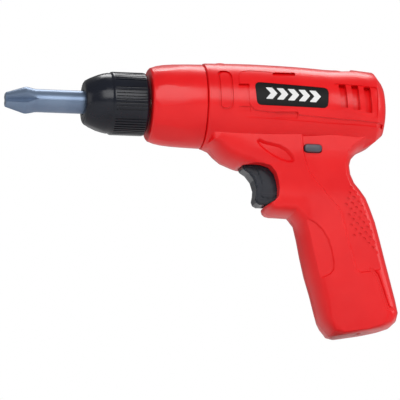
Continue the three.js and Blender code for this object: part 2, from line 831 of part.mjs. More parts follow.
function wireAlong(path, radius, steps, sides) {
  const section = new THREE.Shape(circle(0, 0, radius, sides).map(([a, b]) => new THREE.Vector2(a, b)));
  return toSolid(new THREE.ExtrudeGeometry(section, { steps, bevelEnabled: false, extrudePath: path }));
}

function triggerSpring() {
  const frontX = triggerRearX - 8 + gap + springWire;
  const rearX = triggerRearX + 7.5 - gap - springWire;
  const path = new CoilPath(new THREE.Vector3(frontX, 0, springZ), "x", rearX - frontX, springRadius, 5);
  return wireAlong(path, springWire, 40, 5);
}

const directionBar = () => {
  const nearY = -bodyHalfWidth - barProud;
  const body = across(
    stadium(barX, barZ, barHalfLength, barHalfHeight),
    nearY,
    bodyHalfWidth + barProud - barTravel,
  );
  return body.add(block(barX - 1, barX + 1, -1, 1, barZ - barHalfHeight - 1.6, barZ));
};

const boardTop = boardZ + boardThickness;

const switchBoard = () => block(181, 204.5, -12, 12, boardZ, boardTop);

function directionSwitch() {
  const topZ = barZ - barHalfHeight - 0.7;
  const body = block(barX - 4, barX + 4, -6, 6, boardTop + pressGap, topZ);
  return body.subtract(block(barX - 1.4, barX + 1.4, -1.5, barTravel + 1.5, topZ - 1.5, topZ + 1));
}

const contactStrip = (x, foot) => block(x, x + 0.5, -3, 3, foot, boardZ - gap)
  .add(block(x, x + 5, -3, 3, boardZ - gap - 0.5, boardZ - gap));
const switchLeaf = () => contactStrip(triggerRearX + triggerTravel + 0.6, springZ + 4.5);
const fixedContact = () => block(
  triggerRearX + triggerTravel + 1.6,
  triggerRearX + triggerTravel + 2.1,
  -3,
  3,
  springZ + 4.6,
  boardZ - gap - 1,
);

// ---------------------------------------------------------------- batteries, in the grip's frame

function batteryTray() {
  const outer = block(
    trayMiddle - trayOuterHalf,
    trayMiddle + trayOuterHalf,
    trayBack - trayWall,
    trayFront,
    trayFloor - trayWall,
    trayTop,
  );
  const inner = block(
    trayMiddle - trayInnerHalf,
    trayMiddle + trayInnerHalf,
    trayBack,
    trayFront + 1,
    trayFloor,
    trayTop - trayWall,
  );
  const post = block(trayMiddle - 3.4, trayMiddle + 3.4, trayBack - trayWall, 11, trayTop - 1, doorScrewH + 3.6);
  const postHole = rodY(trayMiddle, doorScrewH, 1.9, 4, 12, smallSteps);
  const leadNotch = block(cellPlaces[0] - 1.2, cellPlaces[0] + 1.2, trayBack - 3, trayBack + 2.5, trayFloor - 3, trayFloor + 1);
  return cutFrom(outer.add(post), [inner, postHole, leadNotch]);
}

// An AA cell standing at t, its positive nub up or down.
function batteryCell(t, foot, nubUp) {
  const body = cellLength - 1.4;
  const profile = [[0, 0], [0, cellRadius - 0.6], [0.5, cellRadius], [body - 0.5, cellRadius], [body, cellRadius - 0.6]];
  const nub = [[body, 2.6], [cellLength, 2.6], [cellLength, 0]];
  const geometry = new THREE.LatheGeometry([...profile, ...nub].map(([h, r]) => new THREE.Vector2(r, h)), 16);
  geometry.rotateX(nubUp ? Math.PI / 2 : -Math.PI / 2);
  geometry.translate(t, 0, nubUp ? foot : foot + cellLength);
  return toSolid(geometry);
}

const plateStep = 0.5;
const trayCeiling = trayTop - trayWall;
const cellUpFoot = trayCeiling - plateStep - 2 * gap - cellLength;
const cellDownFoot = trayFloor + plateStep + 2 * gap;

function contactPlate(fromT, toT, atTop) {
  const z0 = atTop ? trayCeiling - gap - plateStep : trayFloor + gap;
  return block(fromT, toT, trayBack + gap, 5.5, z0, z0 + plateStep);
}

function batterySpring(t, atTop) {
  const foot = atTop ? cellDownFoot + cellLength + 0.3 : trayFloor + gap + plateStep;
  const top = atTop ? trayCeiling - gap - plateStep : cellUpFoot - 0.3;
  const wire = 0.4;
  const start = new THREE.Vector3(t, 0, foot + wire + 0.15);
  const path = new CoilPath(start, "z", top - foot - 2 * wire - 0.3, 3.2, 3);
  return wireAlong(path, wire, 24, 5);
}

const clearOfCells = 0.4;
const firstPair = [cellPlaces[0] - 6.4, cellPlaces[1] + 6.4];
const secondPair = [cellPlaces[1] - 6.4, cellPlaces[2] + 6.4];

function batteryDoor() {
  const half = doorHalfWidth;
  const window = block(trayMiddle - half, trayMiddle + half, 5, gripHalfWidth + 1, doorHinge, doorTop);
  const skin = gripColumn(0).subtract(gripColumn(doorThickness)).intersect(window);
  const flatHalf = gripHalfDepth - gripCorner;
  const hingeRoll = block(
    trayMiddle - flatHalf,
    trayMiddle + flatHalf,
    doorAxisY - doorEdgeRadius,
    doorAxisY + doorEdgeRadius,
    doorHinge - doorEdgeRadius,
    doorHinge + 0.5,
  ).intersect(rodAlongT(doorAxisY, doorHinge, doorEdgeRadius));
  const underWallY = gripHalfWidth - wall - gap - 0.2;
  const tongues = [-9, 9].map((t) => joined([
    block(trayMiddle + t - 4, trayMiddle + t + 4, underWallY - 1.4, gripHalfWidth - 1, doorHinge + 0.6, doorHinge + 3),
    block(
      trayMiddle + t - 4,
      trayMiddle + t + 4,
      underWallY - 1.4,
      underWallY,
      doorHinge - tongueLength,
      doorHinge + 3,
    ),
  ]));
  const ribs = cellPlaces.map((t) => block(
    t - 0.8,
    t + 0.8,
    cellRadius + clearOfCells,
    gripHalfWidth - doorThickness + 0.2,
    doorHinge + 10,
    trayTop - 8,
  ));
  const ribsInside = joined(ribs).intersect(gripColumn(doorThickness * 0.5));
  const boss = rodY(trayMiddle, doorScrewH, 4, 11.8, gripHalfWidth - 1, roundSteps);
  return cutFrom(joined([skin, hingeRoll, ...tongues, ribsInside, boss]), [
    rodY(trayMiddle, doorScrewH, 1.3 + pressGap, 11, gripHalfWidth + 1, smallSteps),
    rodY(trayMiddle, doorScrewH, 2.9, gripHalfWidth - 2.7, gripHalfWidth + 1, smallSteps),
  ]);
}

// A rod along the grip frame's X axis, at the given Y and height.
function rodAlongT(y, h, radius) {
  return rodX(gripFront * 2, gripRear * 2, radius, y, h, 16);
}

// A screw entering towards -Y with its head outside.
function screwAcross(x, z, headY, headRadius, headHeight, shankRadius, length) {
  const head = rodY(x, z, headRadius, headY, headY + headHeight, smallSteps);
  const shank = rodY(x, z, shankRadius, headY - length, headY + 0.1, smallSteps);
  const slot = headRadius * 0.6;
  const recess = block(x - slot, x + slot, headY + headHeight * 0.5, headY + headHeight + 1, z - 0.3, z + 0.3)
    .add(block(x - 0.3, x + 0.3, headY + headHeight * 0.5, headY + headHeight + 1, z - slot, z + slot));
  return head.add(shank).subtract(recess);
}

const housingScrew = ([x, z]) => screwAcross(
  x,
  z,
  screwHeadY + pressGap,
  screwHeadRadius,
  screwHeadHeight,
  screwRadius,
  17,
);
const doorScrew = () => screwAcross(trayMiddle, doorScrewH, gripHalfWidth - 2.6, 2.6, 1.8, 1.3, 6.4);

// ---------------------------------------------------------------- label plates and leads

function labelPlate(side) {
  const fromY = side < 0 ? -barrelRadius - 2 : 5;
  const toY = side < 0 ? -5 : barrelRadius + 2;
  return across(plateOutline(0), fromY, toY).intersect(barrel(0)).subtract(barrel(plateThickness));
}

const leadRadius = 0.6;

function lead(points) {
  const path = new THREE.CatmullRomCurve3(points.map((p) => new THREE.Vector3(...p)));
  return wireAlong(path, leadRadius, 18, 6);
}

// A point given in the grip's frame, as a place on the drill.
function fromGrip(t, y, h) {
  const place = new THREE.Vector3(t, y, h).applyMatrix4(gripTurn);
  return [place.x, place.y, place.z];
}

const motorLead = (side) => {
  const capX = motorRearX + motorCapLength + 1;
  return lead([
    [capX, side * 5, motorZ],
    [capX + 8, side * 5.4, motorZ - 1],
    [200, side * 6, -8],
    [200.5, side * 7, -22],
    [200.5, side * 8, boardTop + gap + leadRadius],
  ]);
};

const positiveLead = () => lead([
  fromGrip(cellPlaces[2] + 1, 0, trayTop + 1),
  fromGrip(cellPlaces[2] - 3, 1, trayTop + 12),
  [205, 2, -48],
  [201, 3, boardZ - 4],
  [201, 3, boardZ - gap],
]);

const negativeLead = () => lead([
  fromGrip(cellPlaces[0], trayBack - trayWall - 2, trayFloor + 1),
  fromGrip(cellPlaces[0], trayBack - trayWall - 2.6, trayFloor + 12),
  fromGrip(cellPlaces[0] + 1, trayBack - trayWall - 2.6, trayTop - 8),
  [197, -9, -62],
  [198, -5, -48],
  [198, -3, boardZ - 4],
  [198, -3, boardZ - gap],
]);

// ---------------------------------------------------------------- materials and assembly

const finish = (color, roughness, metalness = 0) => () => new THREE.MeshStandardMaterial({
  color,
  roughness,
  metalness,
});
const redPlastic = finish("#d81a14", 0.28);
const blackPlastic = finish("#15161a", 0.3);
const greyPlastic = finish("#3c3c40", 0.4);
const bitPlastic = finish("#76828f", 0.38, 0.35);
const whitePlastic = finish("#e8e4d8", 0.45);
const steel = finish("#a9adb2", 0.3, 0.9);
const brass = finish("#c09a4a", 0.35, 0.9);
const copper = finish("#b87445", 0.35, 0.9);
const boardGreen = finish("#2f6b3a", 0.5);
const cellSkin = finish("#2b6fb5", 0.4, 0.3);
const redLead = finish("#b01818", 0.5);
const blackLead = finish("#181818", 0.5);

const drill = new THREE.Group();
const grip = new THREE.Group();
gripTurn.decompose(grip.position, grip.quaternion, grip.scale);
drill.add(grip);

function place(name, solid, material, parent = drill) {
  const mesh = new THREE.Mesh(toGeometry(solid), material());
  mesh.name = name;
  parent.add(mesh);
}

place("left_housing", leftHousing(), redPlastic);
place("right_housing", rightHousing(), redPlastic);
place("nose_collar", noseCollar(), redPlastic);
place("nose_bush", noseBush(), brass);
place("chuck_sleeve", chuckSleeve(), blackPlastic);
place("chuck_screw", chuckScrew(), steel);
place("screwdriver_bit", screwdriverBit(), bitPlastic);
place("output_spindle", outputSpindle(), steel);
place("output_gear", outputGear(), whitePlastic);
place("compound_gear", compoundGear(), whitePlastic);
place("idler_axle", idlerAxle(), steel);
place("motor_pinion", motorPinion(), brass);
place("gearbox_front_plate", gearboxFrontPlate(), blackPlastic);
place("gearbox_rear_frame", gearboxRearFrame(), blackPlastic);
place("spindle_bush", spindleBush(), brass);
postPlaces.forEach((_, i) => place(`gearbox_screw_${i + 1}`, gearboxScrew(i), steel));
place("motor_can", motorCan(), steel);
place("motor_end_cap", motorEndCap(), whitePlastic);
place("motor_shaft", motorShaft(), steel);
place("trigger", trigger(), blackPlastic);
place("trigger_spring", triggerSpring(), steel);
place("direction_bar", directionBar(), greyPlastic);
place("direction_switch", directionSwitch(), blackPlastic);
place("switch_board", switchBoard(), boardGreen);
place("switch_leaf", switchLeaf(), copper);
place("fixed_contact", fixedContact(), copper);
place("battery_tray", batteryTray(), blackPlastic, grip);
cellPlaces.forEach((t, i) => {
  const nubUp = i !== 1;
  place(`battery_${i + 1}`, batteryCell(t, nubUp ? cellUpFoot : cellDownFoot, nubUp), cellSkin, grip);
  place(`battery_spring_${i + 1}`, batterySpring(t, !nubUp), steel, grip);
});
place("contact_top_link", contactPlate(...firstPair, true), steel, grip);
place("contact_bottom_link", contactPlate(...secondPair, false), steel, grip);
place("positive_terminal", contactPlate(cellPlaces[2] - 5, cellPlaces[2] + 6.4, true), steel, grip);
place("negative_terminal", contactPlate(cellPlaces[0] - 6.4, cellPlaces[0] + 5, false), steel, grip);
place("battery_door", batteryDoor(), redPlastic, grip);
place("battery_door_screw", doorScrew(), steel, grip);
screwPlaces.forEach((spot, i) => place(`housing_screw_${i + 1}`, housingScrew(spot), steel));
place("label_plate_left", labelPlate(-1), blackPlastic);
place("label_plate_right", labelPlate(1), blackPlastic);
place("motor_lead_red", motorLead(1), redLead);
place("motor_lead_black", motorLead(-1), blackLead);
place("battery_lead_red", positiveLead(), redLead);
place("battery_lead_black", negativeLead(), blackLead);

export default drill;
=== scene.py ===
import json
import math

import bmesh
import bpy
from mathutils import Matrix, Vector


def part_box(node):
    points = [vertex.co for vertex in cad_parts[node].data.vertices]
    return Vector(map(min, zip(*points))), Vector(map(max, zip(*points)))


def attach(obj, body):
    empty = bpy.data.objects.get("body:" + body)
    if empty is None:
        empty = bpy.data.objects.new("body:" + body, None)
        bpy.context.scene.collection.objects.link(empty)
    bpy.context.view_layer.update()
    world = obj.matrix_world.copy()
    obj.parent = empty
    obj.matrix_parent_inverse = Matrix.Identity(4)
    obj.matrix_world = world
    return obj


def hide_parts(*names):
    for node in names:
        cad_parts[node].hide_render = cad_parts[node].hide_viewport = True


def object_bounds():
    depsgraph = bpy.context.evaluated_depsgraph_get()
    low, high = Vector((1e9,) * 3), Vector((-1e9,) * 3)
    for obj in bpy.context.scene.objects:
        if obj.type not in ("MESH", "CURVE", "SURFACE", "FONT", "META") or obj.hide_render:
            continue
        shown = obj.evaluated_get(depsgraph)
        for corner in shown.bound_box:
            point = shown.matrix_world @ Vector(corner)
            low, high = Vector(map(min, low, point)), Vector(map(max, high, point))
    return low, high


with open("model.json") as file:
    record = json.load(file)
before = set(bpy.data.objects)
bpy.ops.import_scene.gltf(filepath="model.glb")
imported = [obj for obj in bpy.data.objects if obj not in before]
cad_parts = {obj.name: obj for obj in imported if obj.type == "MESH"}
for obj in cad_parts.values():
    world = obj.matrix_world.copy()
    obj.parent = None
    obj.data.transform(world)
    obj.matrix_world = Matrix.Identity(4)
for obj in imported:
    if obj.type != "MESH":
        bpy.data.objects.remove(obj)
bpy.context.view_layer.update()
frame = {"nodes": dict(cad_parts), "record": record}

# ---------------------------------------------------------------- camera
# A long lens a few metres off, below the drill and turned slightly to the front of its left side.

camera_data = bpy.data.cameras.new("camera")
camera_data.sensor_width = 36
camera_data.lens = 437.2
camera_data.clip_end = 20
camera = bpy.data.objects.new("camera", camera_data)
bpy.context.scene.collection.objects.link(camera)
aim = Vector((0.12215, 0, -0.05867))
camera_turn = math.radians(-11)
camera_rise = math.radians(-10)
camera_distance = 3.0
back = Vector((
    math.sin(camera_turn) * math.cos(camera_rise),
    -math.cos(camera_turn) * math.cos(camera_rise),
    math.sin(camera_rise),
))
camera.location = aim + back * camera_distance
camera.rotation_euler = back.to_track_quat("Z", "Y").to_euler()
bpy.context.scene.camera = camera
bpy.context.scene.view_settings.view_transform = "Standard"
bpy.context.view_layer.update()

# ---------------------------------------------------------------- housing halves
# Two moulded shells of glossy red ABS, joined on the plane Y = 0 by seven screws from the right.
# Both carry the same outside: a round barrel, and below it a flat-sided body that runs into the grip.

MM = 0.001
wall = 2.2
parting_gap = 0.06


def solid(bm, name):
    """A mesh object in metres from a bmesh in millimetres."""
    bmesh.ops.remove_doubles(bm, verts=bm.verts, dist=0.0005)
    bmesh.ops.recalc_face_normals(bm, faces=bm.faces)
    bmesh.ops.scale(bm, vec=(MM, MM, MM), verts=bm.verts)
    mesh = bpy.data.meshes.new(name)
    bm.to_mesh(mesh)
    bm.free()
    obj = bpy.data.objects.new(name, mesh)
    bpy.context.scene.collection.objects.link(obj)
    return obj


def spun(profile, name, steps=128):
    """A turned solid on the X axis from (x, radius) points that start and end on the axis."""
    bm = bmesh.new()
    verts = [bm.verts.new((x, 0, r)) for x, r in profile]
    edges = [bm.edges.new(pair) for pair in zip(verts, verts[1:])]
    bmesh.ops.spin(
        bm, geom=verts + edges, cent=(0, 0, 0), axis=(1, 0, 0),
        angle=math.tau, steps=steps, use_merge=True,
    )
    return solid(bm, name)


def prism(outline, low, high, name, rim=0):
    """A flat (x, z) outline pushed along Y from low to high, its rims bevelled by rim."""
    bm = bmesh.new()
    face = bm.faces.new([bm.verts.new((x, low, z)) for x, z in outline])
    grown = bmesh.ops.extrude_face_region(bm, geom=[face])
    top = [v for v in grown["geom"] if isinstance(v, bmesh.types.BMVert)]
    bmesh.ops.translate(bm, vec=(0, high - low, 0), verts=top)
    if rim:
        ends = [e for e in bm.edges if abs(e.verts[0].co.y - e.verts[1].co.y) < 0.001]
        bmesh.ops.bevel(
            bm, geom=ends, offset=rim, affect="EDGES", segments=2, profile=0.5, material=-1,
        )
    return solid(bm, name)


def combine(base, tool, operation):
    """Joins, cuts or crosses two closed solids, and keeps the first."""
    modifier = base.modifiers.new("combine", "BOOLEAN")
    modifier.operation = operation
    modifier.solver = "MANIFOLD"
    modifier.object = tool
    graph = bpy.context.evaluated_depsgraph_get()
    mesh = bpy.data.meshes.new_from_object(base.evaluated_get(graph))
    base.modifiers.clear()
    old = base.data
    base.data = mesh
    bpy.data.meshes.remove(old)
    bpy.data.objects.remove(tool)
    return base


def rounded(outline, radius, steps=4):
    """The (x, z) outline with each corner turned to an arc."""
    points = []
    count = len(outline)
    for i, corner in enumerate(outline):
        here = Vector(corner)
        to_last = (Vector(outline[i - 1]) - here)
        to_next = (Vector(outline[(i + 1) % count]) - here)
        angle = to_last.angle(to_next)
        reach = min(radius / math.tan(angle / 2), to_last.length * 0.49, to_next.length * 0.49)
        start = here + to_last.normalized() * reach
        end = here + to_next.normalized() * reach
        for k in range(steps + 1):
            s = k / steps
            points.append(tuple(start * (1 - s) ** 2 + here * 2 * s * (1 - s) + end * s ** 2))
    return points


def offset_outline(outline, distances):
    """The outline with each point moved inwards (for positive distances), square to its neighbours."""
    count = len(outline)
    area = sum(
        outline[i - 1][0] * outline[i][1] - outline[i][0] * outline[i - 1][1] for i in range(count)
    )
    turn = 1 if area > 0 else -1
    moved = []
    for i in range(count):
        here = Vector(outline[i])
        a = (here - Vector(outline[i - 1])).normalized()
        b = (Vector(outline[(i + 1) % count]) - here).normalized()
        normal_a = Vector((-a.y, a.x)) * turn
        normal_b = Vector((-b.y, b.x)) * turn
        middle = normal_a + normal_b
        middle = middle / max(0.35, middle.length_squared / 2)
        moved.append(tuple(here + middle * distances[i]))
    return moved


# Barrel: (x, radius), with a raised cap behind a shallow saddle.
barrel_profile = [
    (122.6, 24.6), (122.6, 25.6), (123.2, 26.6), (124.2, 26.9), (132, 27.1), (142, 27.3), (152, 27.4), (162, 27.3),
    (172, 27.1), (182, 26.8), (192, 26.3), (200, 25.8), (205, 25.7), (212, 26.0), (217.5, 26.3), (224, 25.7),
    (229.6, 25.2), (230.4, 24.8), (235.0, 19.2), (236.0, 17.4), (237.2, 13), (238.0, 7), (238.3, 2.5),
]


def barrel(inset, name):
    body = [(x + (inset if x < 124 else -inset * 0.6 if x > 226 else 0), r - inset) for x, r in barrel_profile]
    profile = [(body[0][0], 0)] + [(x, r) for x, r in body if r > 0.5]
    return spun(profile + [(profile[-1][0], 0)], name)


# Lower body and grip: the side outline as (x, z, width of its rounded border).
side_outline = [
    (124.4, -12, 3), (124.4, -25.4, 4), (128.0, -27.6, 6), (131.0, -31.2, 7), (135.6, -35.0, 7.5),
    (143.0, -38.0, 7.5),
    (150.4, -40.3, 7), (156.4, -42.3, 6), (160.8, -45.5, 4.5), (163.6, -51.0, 3.6), (163.2, -56.2, 3.2),
    (162.4, -60.0, 3.2), (161.9, -62.6, 3.2), (162.6, -65.0, 3.2), (164.6, -66.9, 3.4), (167.6, -67.7, 4),
    (172.4, -67.9, 5), (178.0, -68.2, 5.5), (181.4, -72.8, 7), (183.3, -81.0, 7.5), (185.3, -92.0, 8),
    (188.0, -104.0, 8),
    (191.4, -115.5, 8), (194.4, -127.0, 7.5), (196.4, -133.5, 6), (198.6, -136.8, 4.5), (203.4, -141.8, 3),
    (209.6, -143.0, 2.4), (217.5, -141.6, 2.2), (225.5, -140.2, 2.2), (234.5, -137.8, 3), (240.8, -135.6, 4),
    (244.4, -132.2, 5), (246.0, -127.0, 7), (244.6, -119.0, 9), (241.4, -106.0, 10), (238.0, -92.6, 10.5),
    (235.0, -80.5, 10.5), (232.2, -70.1, 10.5), (228.8, -60.8, 10.5), (226.2, -54.8, 10), (222.6, -50.0, 9.5),
    (218.8, -45.6, 9), (216.4, -40.6, 8.5), (215.6, -35.6, 8), (216.8, -30.8, 8), (220.2, -27.0, 8),
    (226.2, -23.4, 8.5), (232.4, -18.2, 9), (235.6, -13.0, 9), (236.8, -8.0, 9), (232, -2, 6), (226, 0, 4),
    (136, 0, 3),
]
side_flat = 18
border_steps = 6


def skin_loops(rings, name):
    """A closed solid from rings of points, each bridged to the next and the ends capped."""
    bm = bmesh.new()
    made = []
    for ring in rings:
        verts = [bm.verts.new(point) for point in ring]
        made.append((verts, [bm.edges.new((verts[i - 1], verts[i])) for i in range(len(verts))]))
    for (_, lower), (_, upper) in zip(made, made[1:]):
        bmesh.ops.bridge_loops(bm, edges=lower + upper)
    bm.faces.new(made[0][0])
    bm.faces.new(made[-1][0])
    return solid(bm, name)


def pillow(inset, name):
    """The side outline with its border rounded over from both flat sides to the parting line."""
    flat = [(x, z) for x, z, _ in side_outline]
    quarter = [k / border_steps * math.pi / 2 for k in range(border_steps + 1)]
    rings = []
    for side, angles in ((-1, quarter[::-1]), (1, quarter[1:])):
        for angle in angles:
            reach = 1 - math.cos(angle)
            ring = offset_outline(flat, [inset + width * reach for _, _, width in side_outline])
            y = side * (side_flat - inset) * math.sin(angle)
            rings.append([(x, y, z) for x, z in ring])
    return skin_loops(rings, name)


def tapered(outline, floor, slope, name):
    """A cutter that sinks an outline into both flat sides down to floor, with walls that open by slope."""
    top = side_flat + 1.5
    grown = offset_outline(outline, [-slope * (top - floor)] * len(outline))
    rings = [
        [(x, -top, z) for x, z in grown],
        [(x, -floor, z) for x, z in outline],
    ]
    left = skin_loops(rings, name)
    right = skin_loops([[(x, -y, z) for x, y, z in ring] for ring in rings], name + "_right")
    return combine(left, right, "UNION")


def widened(obj):
    """The body is wider under the barrel than at the grip: moves the flat sides out or in by height."""
    bm = bmesh.new()
    bm.from_mesh(obj.data)
    for z in (-28, -32, -36, -40, -44, -48, -52, -56):
        bmesh.ops.bisect_plane(
            bm, geom=bm.verts[:] + bm.edges[:] + bm.faces[:],
            plane_co=(0, 0, z * MM), plane_no=(0, 0, 1), dist=1e-7,
        )
    for vert in bm.verts:
        share = min(1, max(0, (vert.co.z / MM + 56) / 28))
        smooth = share * share * (3 - 2 * share)
        vert.co.y *= (17.0 + 2.2 * smooth) / side_flat
    bm.to_mesh(obj.data)
    bm.free()
    return obj


# Sunk areas of the flat sides, as (x, z) outlines.
rear_panel = [
    (183.3, -16), (184.0, -27.8), (185.0, -33), (186.6, -38.5), (189.0, -43.0), (194.7, -49.4), (201.7, -57.8),
    (206.0, -62.3), (208.4, -66.5), (210.2, -74), (212.3, -83), (215.4, -93.8), (217.4, -101.6), (220.4, -103.0),
    (225.5, -102.4), (250, -98), (250, -16),
]
rear_groove = [
    (224.4, -101.6), (227.2, -102.8), (229.6, -105.4), (231.6, -110.4), (234.6, -119.8), (236.4, -126.0),
    (241, -126.6), (250, -125.6), (250, -124.2), (241, -124.8), (237.8, -124.6), (236.0, -119.4), (233.0, -110.0),
    (230.8, -104.2), (228.0, -101.4), (225, -100.2),
]
leaf_panel = [
    (170, -71.4), (187.1, -71.4), (191.5, -73.8), (195.6, -77.6), (199.0, -83.2), (201.2, -90.0), (202.6, -97.6),
    (202.4, -102.4), (200.6, -104.6), (194.5, -107.8), (180, -114),
]
swoosh = [
    (155.2, -23.6), (158.6, -25.2), (163.4, -26.2), (168.4, -27.2), (172.4, -29.4), (175.2, -32.2), (177.0, -35.0),
    (173.4, -34.9), (169.0, -33.6), (164.4, -31.2), (160.2, -28.4), (157.2, -26.0),
]


def sunk_body():
    body = pillow(0, "body")
    for outline, floor, slope in (
        (rear_panel, side_flat - 1.1, 0.8),
        (rear_groove, side_flat - 1.5, 0.3),
        (leaf_panel, side_flat - 1.1, 0.7),
        (swoosh, side_flat - 1.9, 0.9),
    ):
        combine(body, tapered(rounded(outline, 1.5, 3), floor, slope, "sunk"), "DIFFERENCE")
    combine(body, dot_field(), "DIFFERENCE")
    return widened(body)


def around(outline, depth, name):
    """A cutter that sinks an outline into both sides of the barrel by an even depth."""
    return combine(prism(outline, -40, 40, name), barrel(depth, name + "_core"), "DIFFERENCE")


def oval(x, z, half_x, half_z, steps=10):
    """A rounded slot shape about (x, z)."""
    r = min(half_x, half_z)
    box = [
        (x - half_x, z - half_z), (x + half_x, z - half_z), (x + half_x, z + half_z), (x - half_x, z + half_z),
    ]
    return rounded(box, r * 0.98, steps)


# Sunk areas of the barrel.
top_line = [
    (141.7, 10.2), (141.7, 15.6), (144.0, 19.4), (149, 20.4), (164, 19.9), (164, 19.4), (149, 19.9), (144.4, 18.9),
    (142.2, 15.4), (142.2, 10.2),
]
saddle = [(205.2, 32), (205.2, 26.2), (206.4, 25.2), (209.6, 23.6), (215.4, 24.0), (217.6, 26.8), (217.6, 32)]
heel = [
    (243, -6), (238.6, -9.5), (235.4, -16.0), (230.4, -20.6), (225.0, -23.8), (219.0, -27.0), (219, -34),
    (243, -34),
]
frame_band = [
    (141.4, 10.2), (147.9, 10.4), (147.8, -2.0), (151.2, -5.9), (161.1, -6.9), (234, -10.6), (234, -12.9),
    (155.1, -10.6), (146.2, -10.3), (142.2, -6.6),
]
label_seat = rounded([(151.4, 12.2), (198.6, 10.0), (197.8, -3.2), (152.6, -2.9)], 3.6, 6)
vents_panel = rounded([(202.2, 13.6), (201.8, 1.0), (206.4, -4.2), (229.6, -8.0), (230.0, 12.0)], 2.0, 3)
vent_places = ((207.4, 13.0, -2.2), (215.2, 12.6, -3.4), (223.0, 11.8, -4.8))
vent_width = 4.4
vent_depth = 4.3


def sunk_barrel(form):
    ring = around(oval(133.4, 6.3, 4.6, 13.2), 1.2, "ring")
    combine(ring, prism(oval(133.4, 6.3, 3.0, 11.6), -40, 40, "pad"), "DIFFERENCE")
    combine(form, ring, "DIFFERENCE")
    for outline, depth in (
        (offset_outline(frame_band, [-0.25] * len(frame_band)), 0.25),
        (frame_band, 0.9),
        ([(141.4, 10.4), (148.2, 10.6), (148.2, 7.7), (141.4, 7.5)], 1.9),
        ([(141.6, -3.8), (148.6, -3.6), (149.4, -6.6), (142.2, -6.8)], 1.9),
        ([(164.2, -6.5), (178.9, -6.0), (178.9, -9.9), (164.2, -10.3)], 1.9),
        ([(164.2, 19.6), (178.4, 20.2), (178.4, 17.6), (163.6, 17.0)], 1.9),
        (top_line, 0.45),
        (label_seat, 0.55),
        (vents_panel, 0.5),
    ):
        combine(form, around(rounded(outline, 0.4, 2), depth, "sunk"), "DIFFERENCE")
    for x, top, bottom in vent_places:
        lean = 1.0
        slot = [
            (x - vent_width / 2, top), (x + vent_width / 2, top),
            (x + vent_width / 2 + lean, bottom), (x - vent_width / 2 + lean, bottom),
        ]
        combine(form, around(rounded(slot, 0.6, 2), vent_depth, "vent"), "DIFFERENCE")
    combine(form, prism(rounded(saddle, 0.8, 3), -40, 40, "saddle"), "DIFFERENCE")
    return form


def top_bump():
    """A low oval button moulded over the front of the parting line."""
    bm = bmesh.new()
    bmesh.ops.create_uvsphere(bm, u_segments=32, v_segments=16, radius=1)
    bmesh.ops.transform(
        bm, verts=bm.verts, matrix=Matrix.Translation((134.2, -1.5, 26.5)) @ Matrix.Diagonal((3.9, 4.4, 0.9, 1)),
    )
    return solid(bm, "bump")


def dot_field():
    """The grip dots: staggered rows of small round dimples down the rear of the grip."""
    bm = bmesh.new()
    lean = math.radians(14)
    for row in range(15):
        for column in range(6):
            t = 1.5 + column * 3.9 + (row % 2) * 1.95
            h = 6.5 - row * 3.3
            if t < 7 + (2 - row) * 2.2 or t < 7 or (row > 9 and t < 7.5 + (row - 9) * 2.8):
                continue
            x = 203 + t * math.cos(lean) - h * math.sin(lean)
            z = -60 + t * math.sin(lean) + h * math.cos(lean)
            if x > 233.6 - (z + 94) * 0.25:
                continue
            for side in (-1, 1):
                place = Matrix.Translation((x, side * (side_flat - 0.05), z)) @ Matrix.Rotation(math.pi / 2, 4, "X")
                bmesh.ops.create_cone(
                    bm, cap_ends=True, segments=12, radius1=1.15, radius2=1.15, depth=3.6, matrix=place,
                )
    return solid(bm, "dots")


def trimmed_barrel(inset, name):
    """The barrel with its lower rear cut off along the heel."""
    low = offset_outline(heel, [-inset] * len(heel))
    return combine(barrel(inset, name), prism(rounded(low, 2.5, 4), -40, 40, "heel"), "DIFFERENCE")


def housing_form():
    body = sunk_body()
    shell = combine(body, trimmed_barrel(0, "barrel"), "UNION")
    combine(shell, top_bump(), "UNION")
    sunk_barrel(shell)
    inner = combine(widened(pillow(wall, "inner")), trimmed_barrel(wall, "inner_barrel"), "UNION")
    return shell, inner


shell, inner = housing_form()


def copy_of(obj, name):
    twin = obj.copy()
    twin.data = obj.data.copy()
    twin.name = name
    bpy.context.scene.collection.objects.link(twin)
    return twin


base_line = [(180, -146.3), (260, -132.8), (260, -180), (180, -180)]
base_wall = 2.3
finger_wall = 2.0
vent_wall = 6.2
combine(shell, prism(base_line, -40, 40, "base"), "DIFFERENCE")
combine(inner, prism([(x, z + base_wall) for x, z in base_line], -40, 40, "base_wall"), "DIFFERENCE")
door_blank = copy_of(shell, "door_blank")
finger_cut = rounded(
    [(138, -50), (142.6, -38.6), (148.0, -37.4), (153.2, -36.9), (158.0, -37.2), (163.0, -38.6), (166.6, -42.6),
     (168.2, -47.4), (168.9, -52.2), (168.6, -57.0), (166.7, -59.9), (163.4, -61.8), (159.4, -62.4), (148, -60)],
    1.2, 3,
)
combine(shell, prism(finger_cut, -40, 40, "finger_cut"), "DIFFERENCE")
finger_block = offset_outline(finger_cut, [-finger_wall] * len(finger_cut))
combine(inner, prism(finger_block, -40, 40, "finger_wall"), "DIFFERENCE")
combine(inner, around([(202, 16), (200, -8), (232, -12), (232, 16)], vent_wall, "vent_wall"), "DIFFERENCE")
hollow = copy_of(inner, "hollow")
combine(shell, inner, "DIFFERENCE")

trigger_mouth = [
    (147.0, -35.4), (166.4, -36.0), (175.0, -38.0), (178.2, -44), (181.6, -52), (180.4, -60.2), (172, -60.8),
    (165, -62.2), (150, -62.2),
]
mouth_half = 9.2
combine(shell, prism(rounded(trigger_mouth, 1.2, 3), -mouth_half, mouth_half, "mouth"), "DIFFERENCE")
button_hole = oval(189.7, -27.2, 5.9, 2.8)
combine(shell, prism(button_hole, -30, 30, "hole"), "DIFFERENCE")


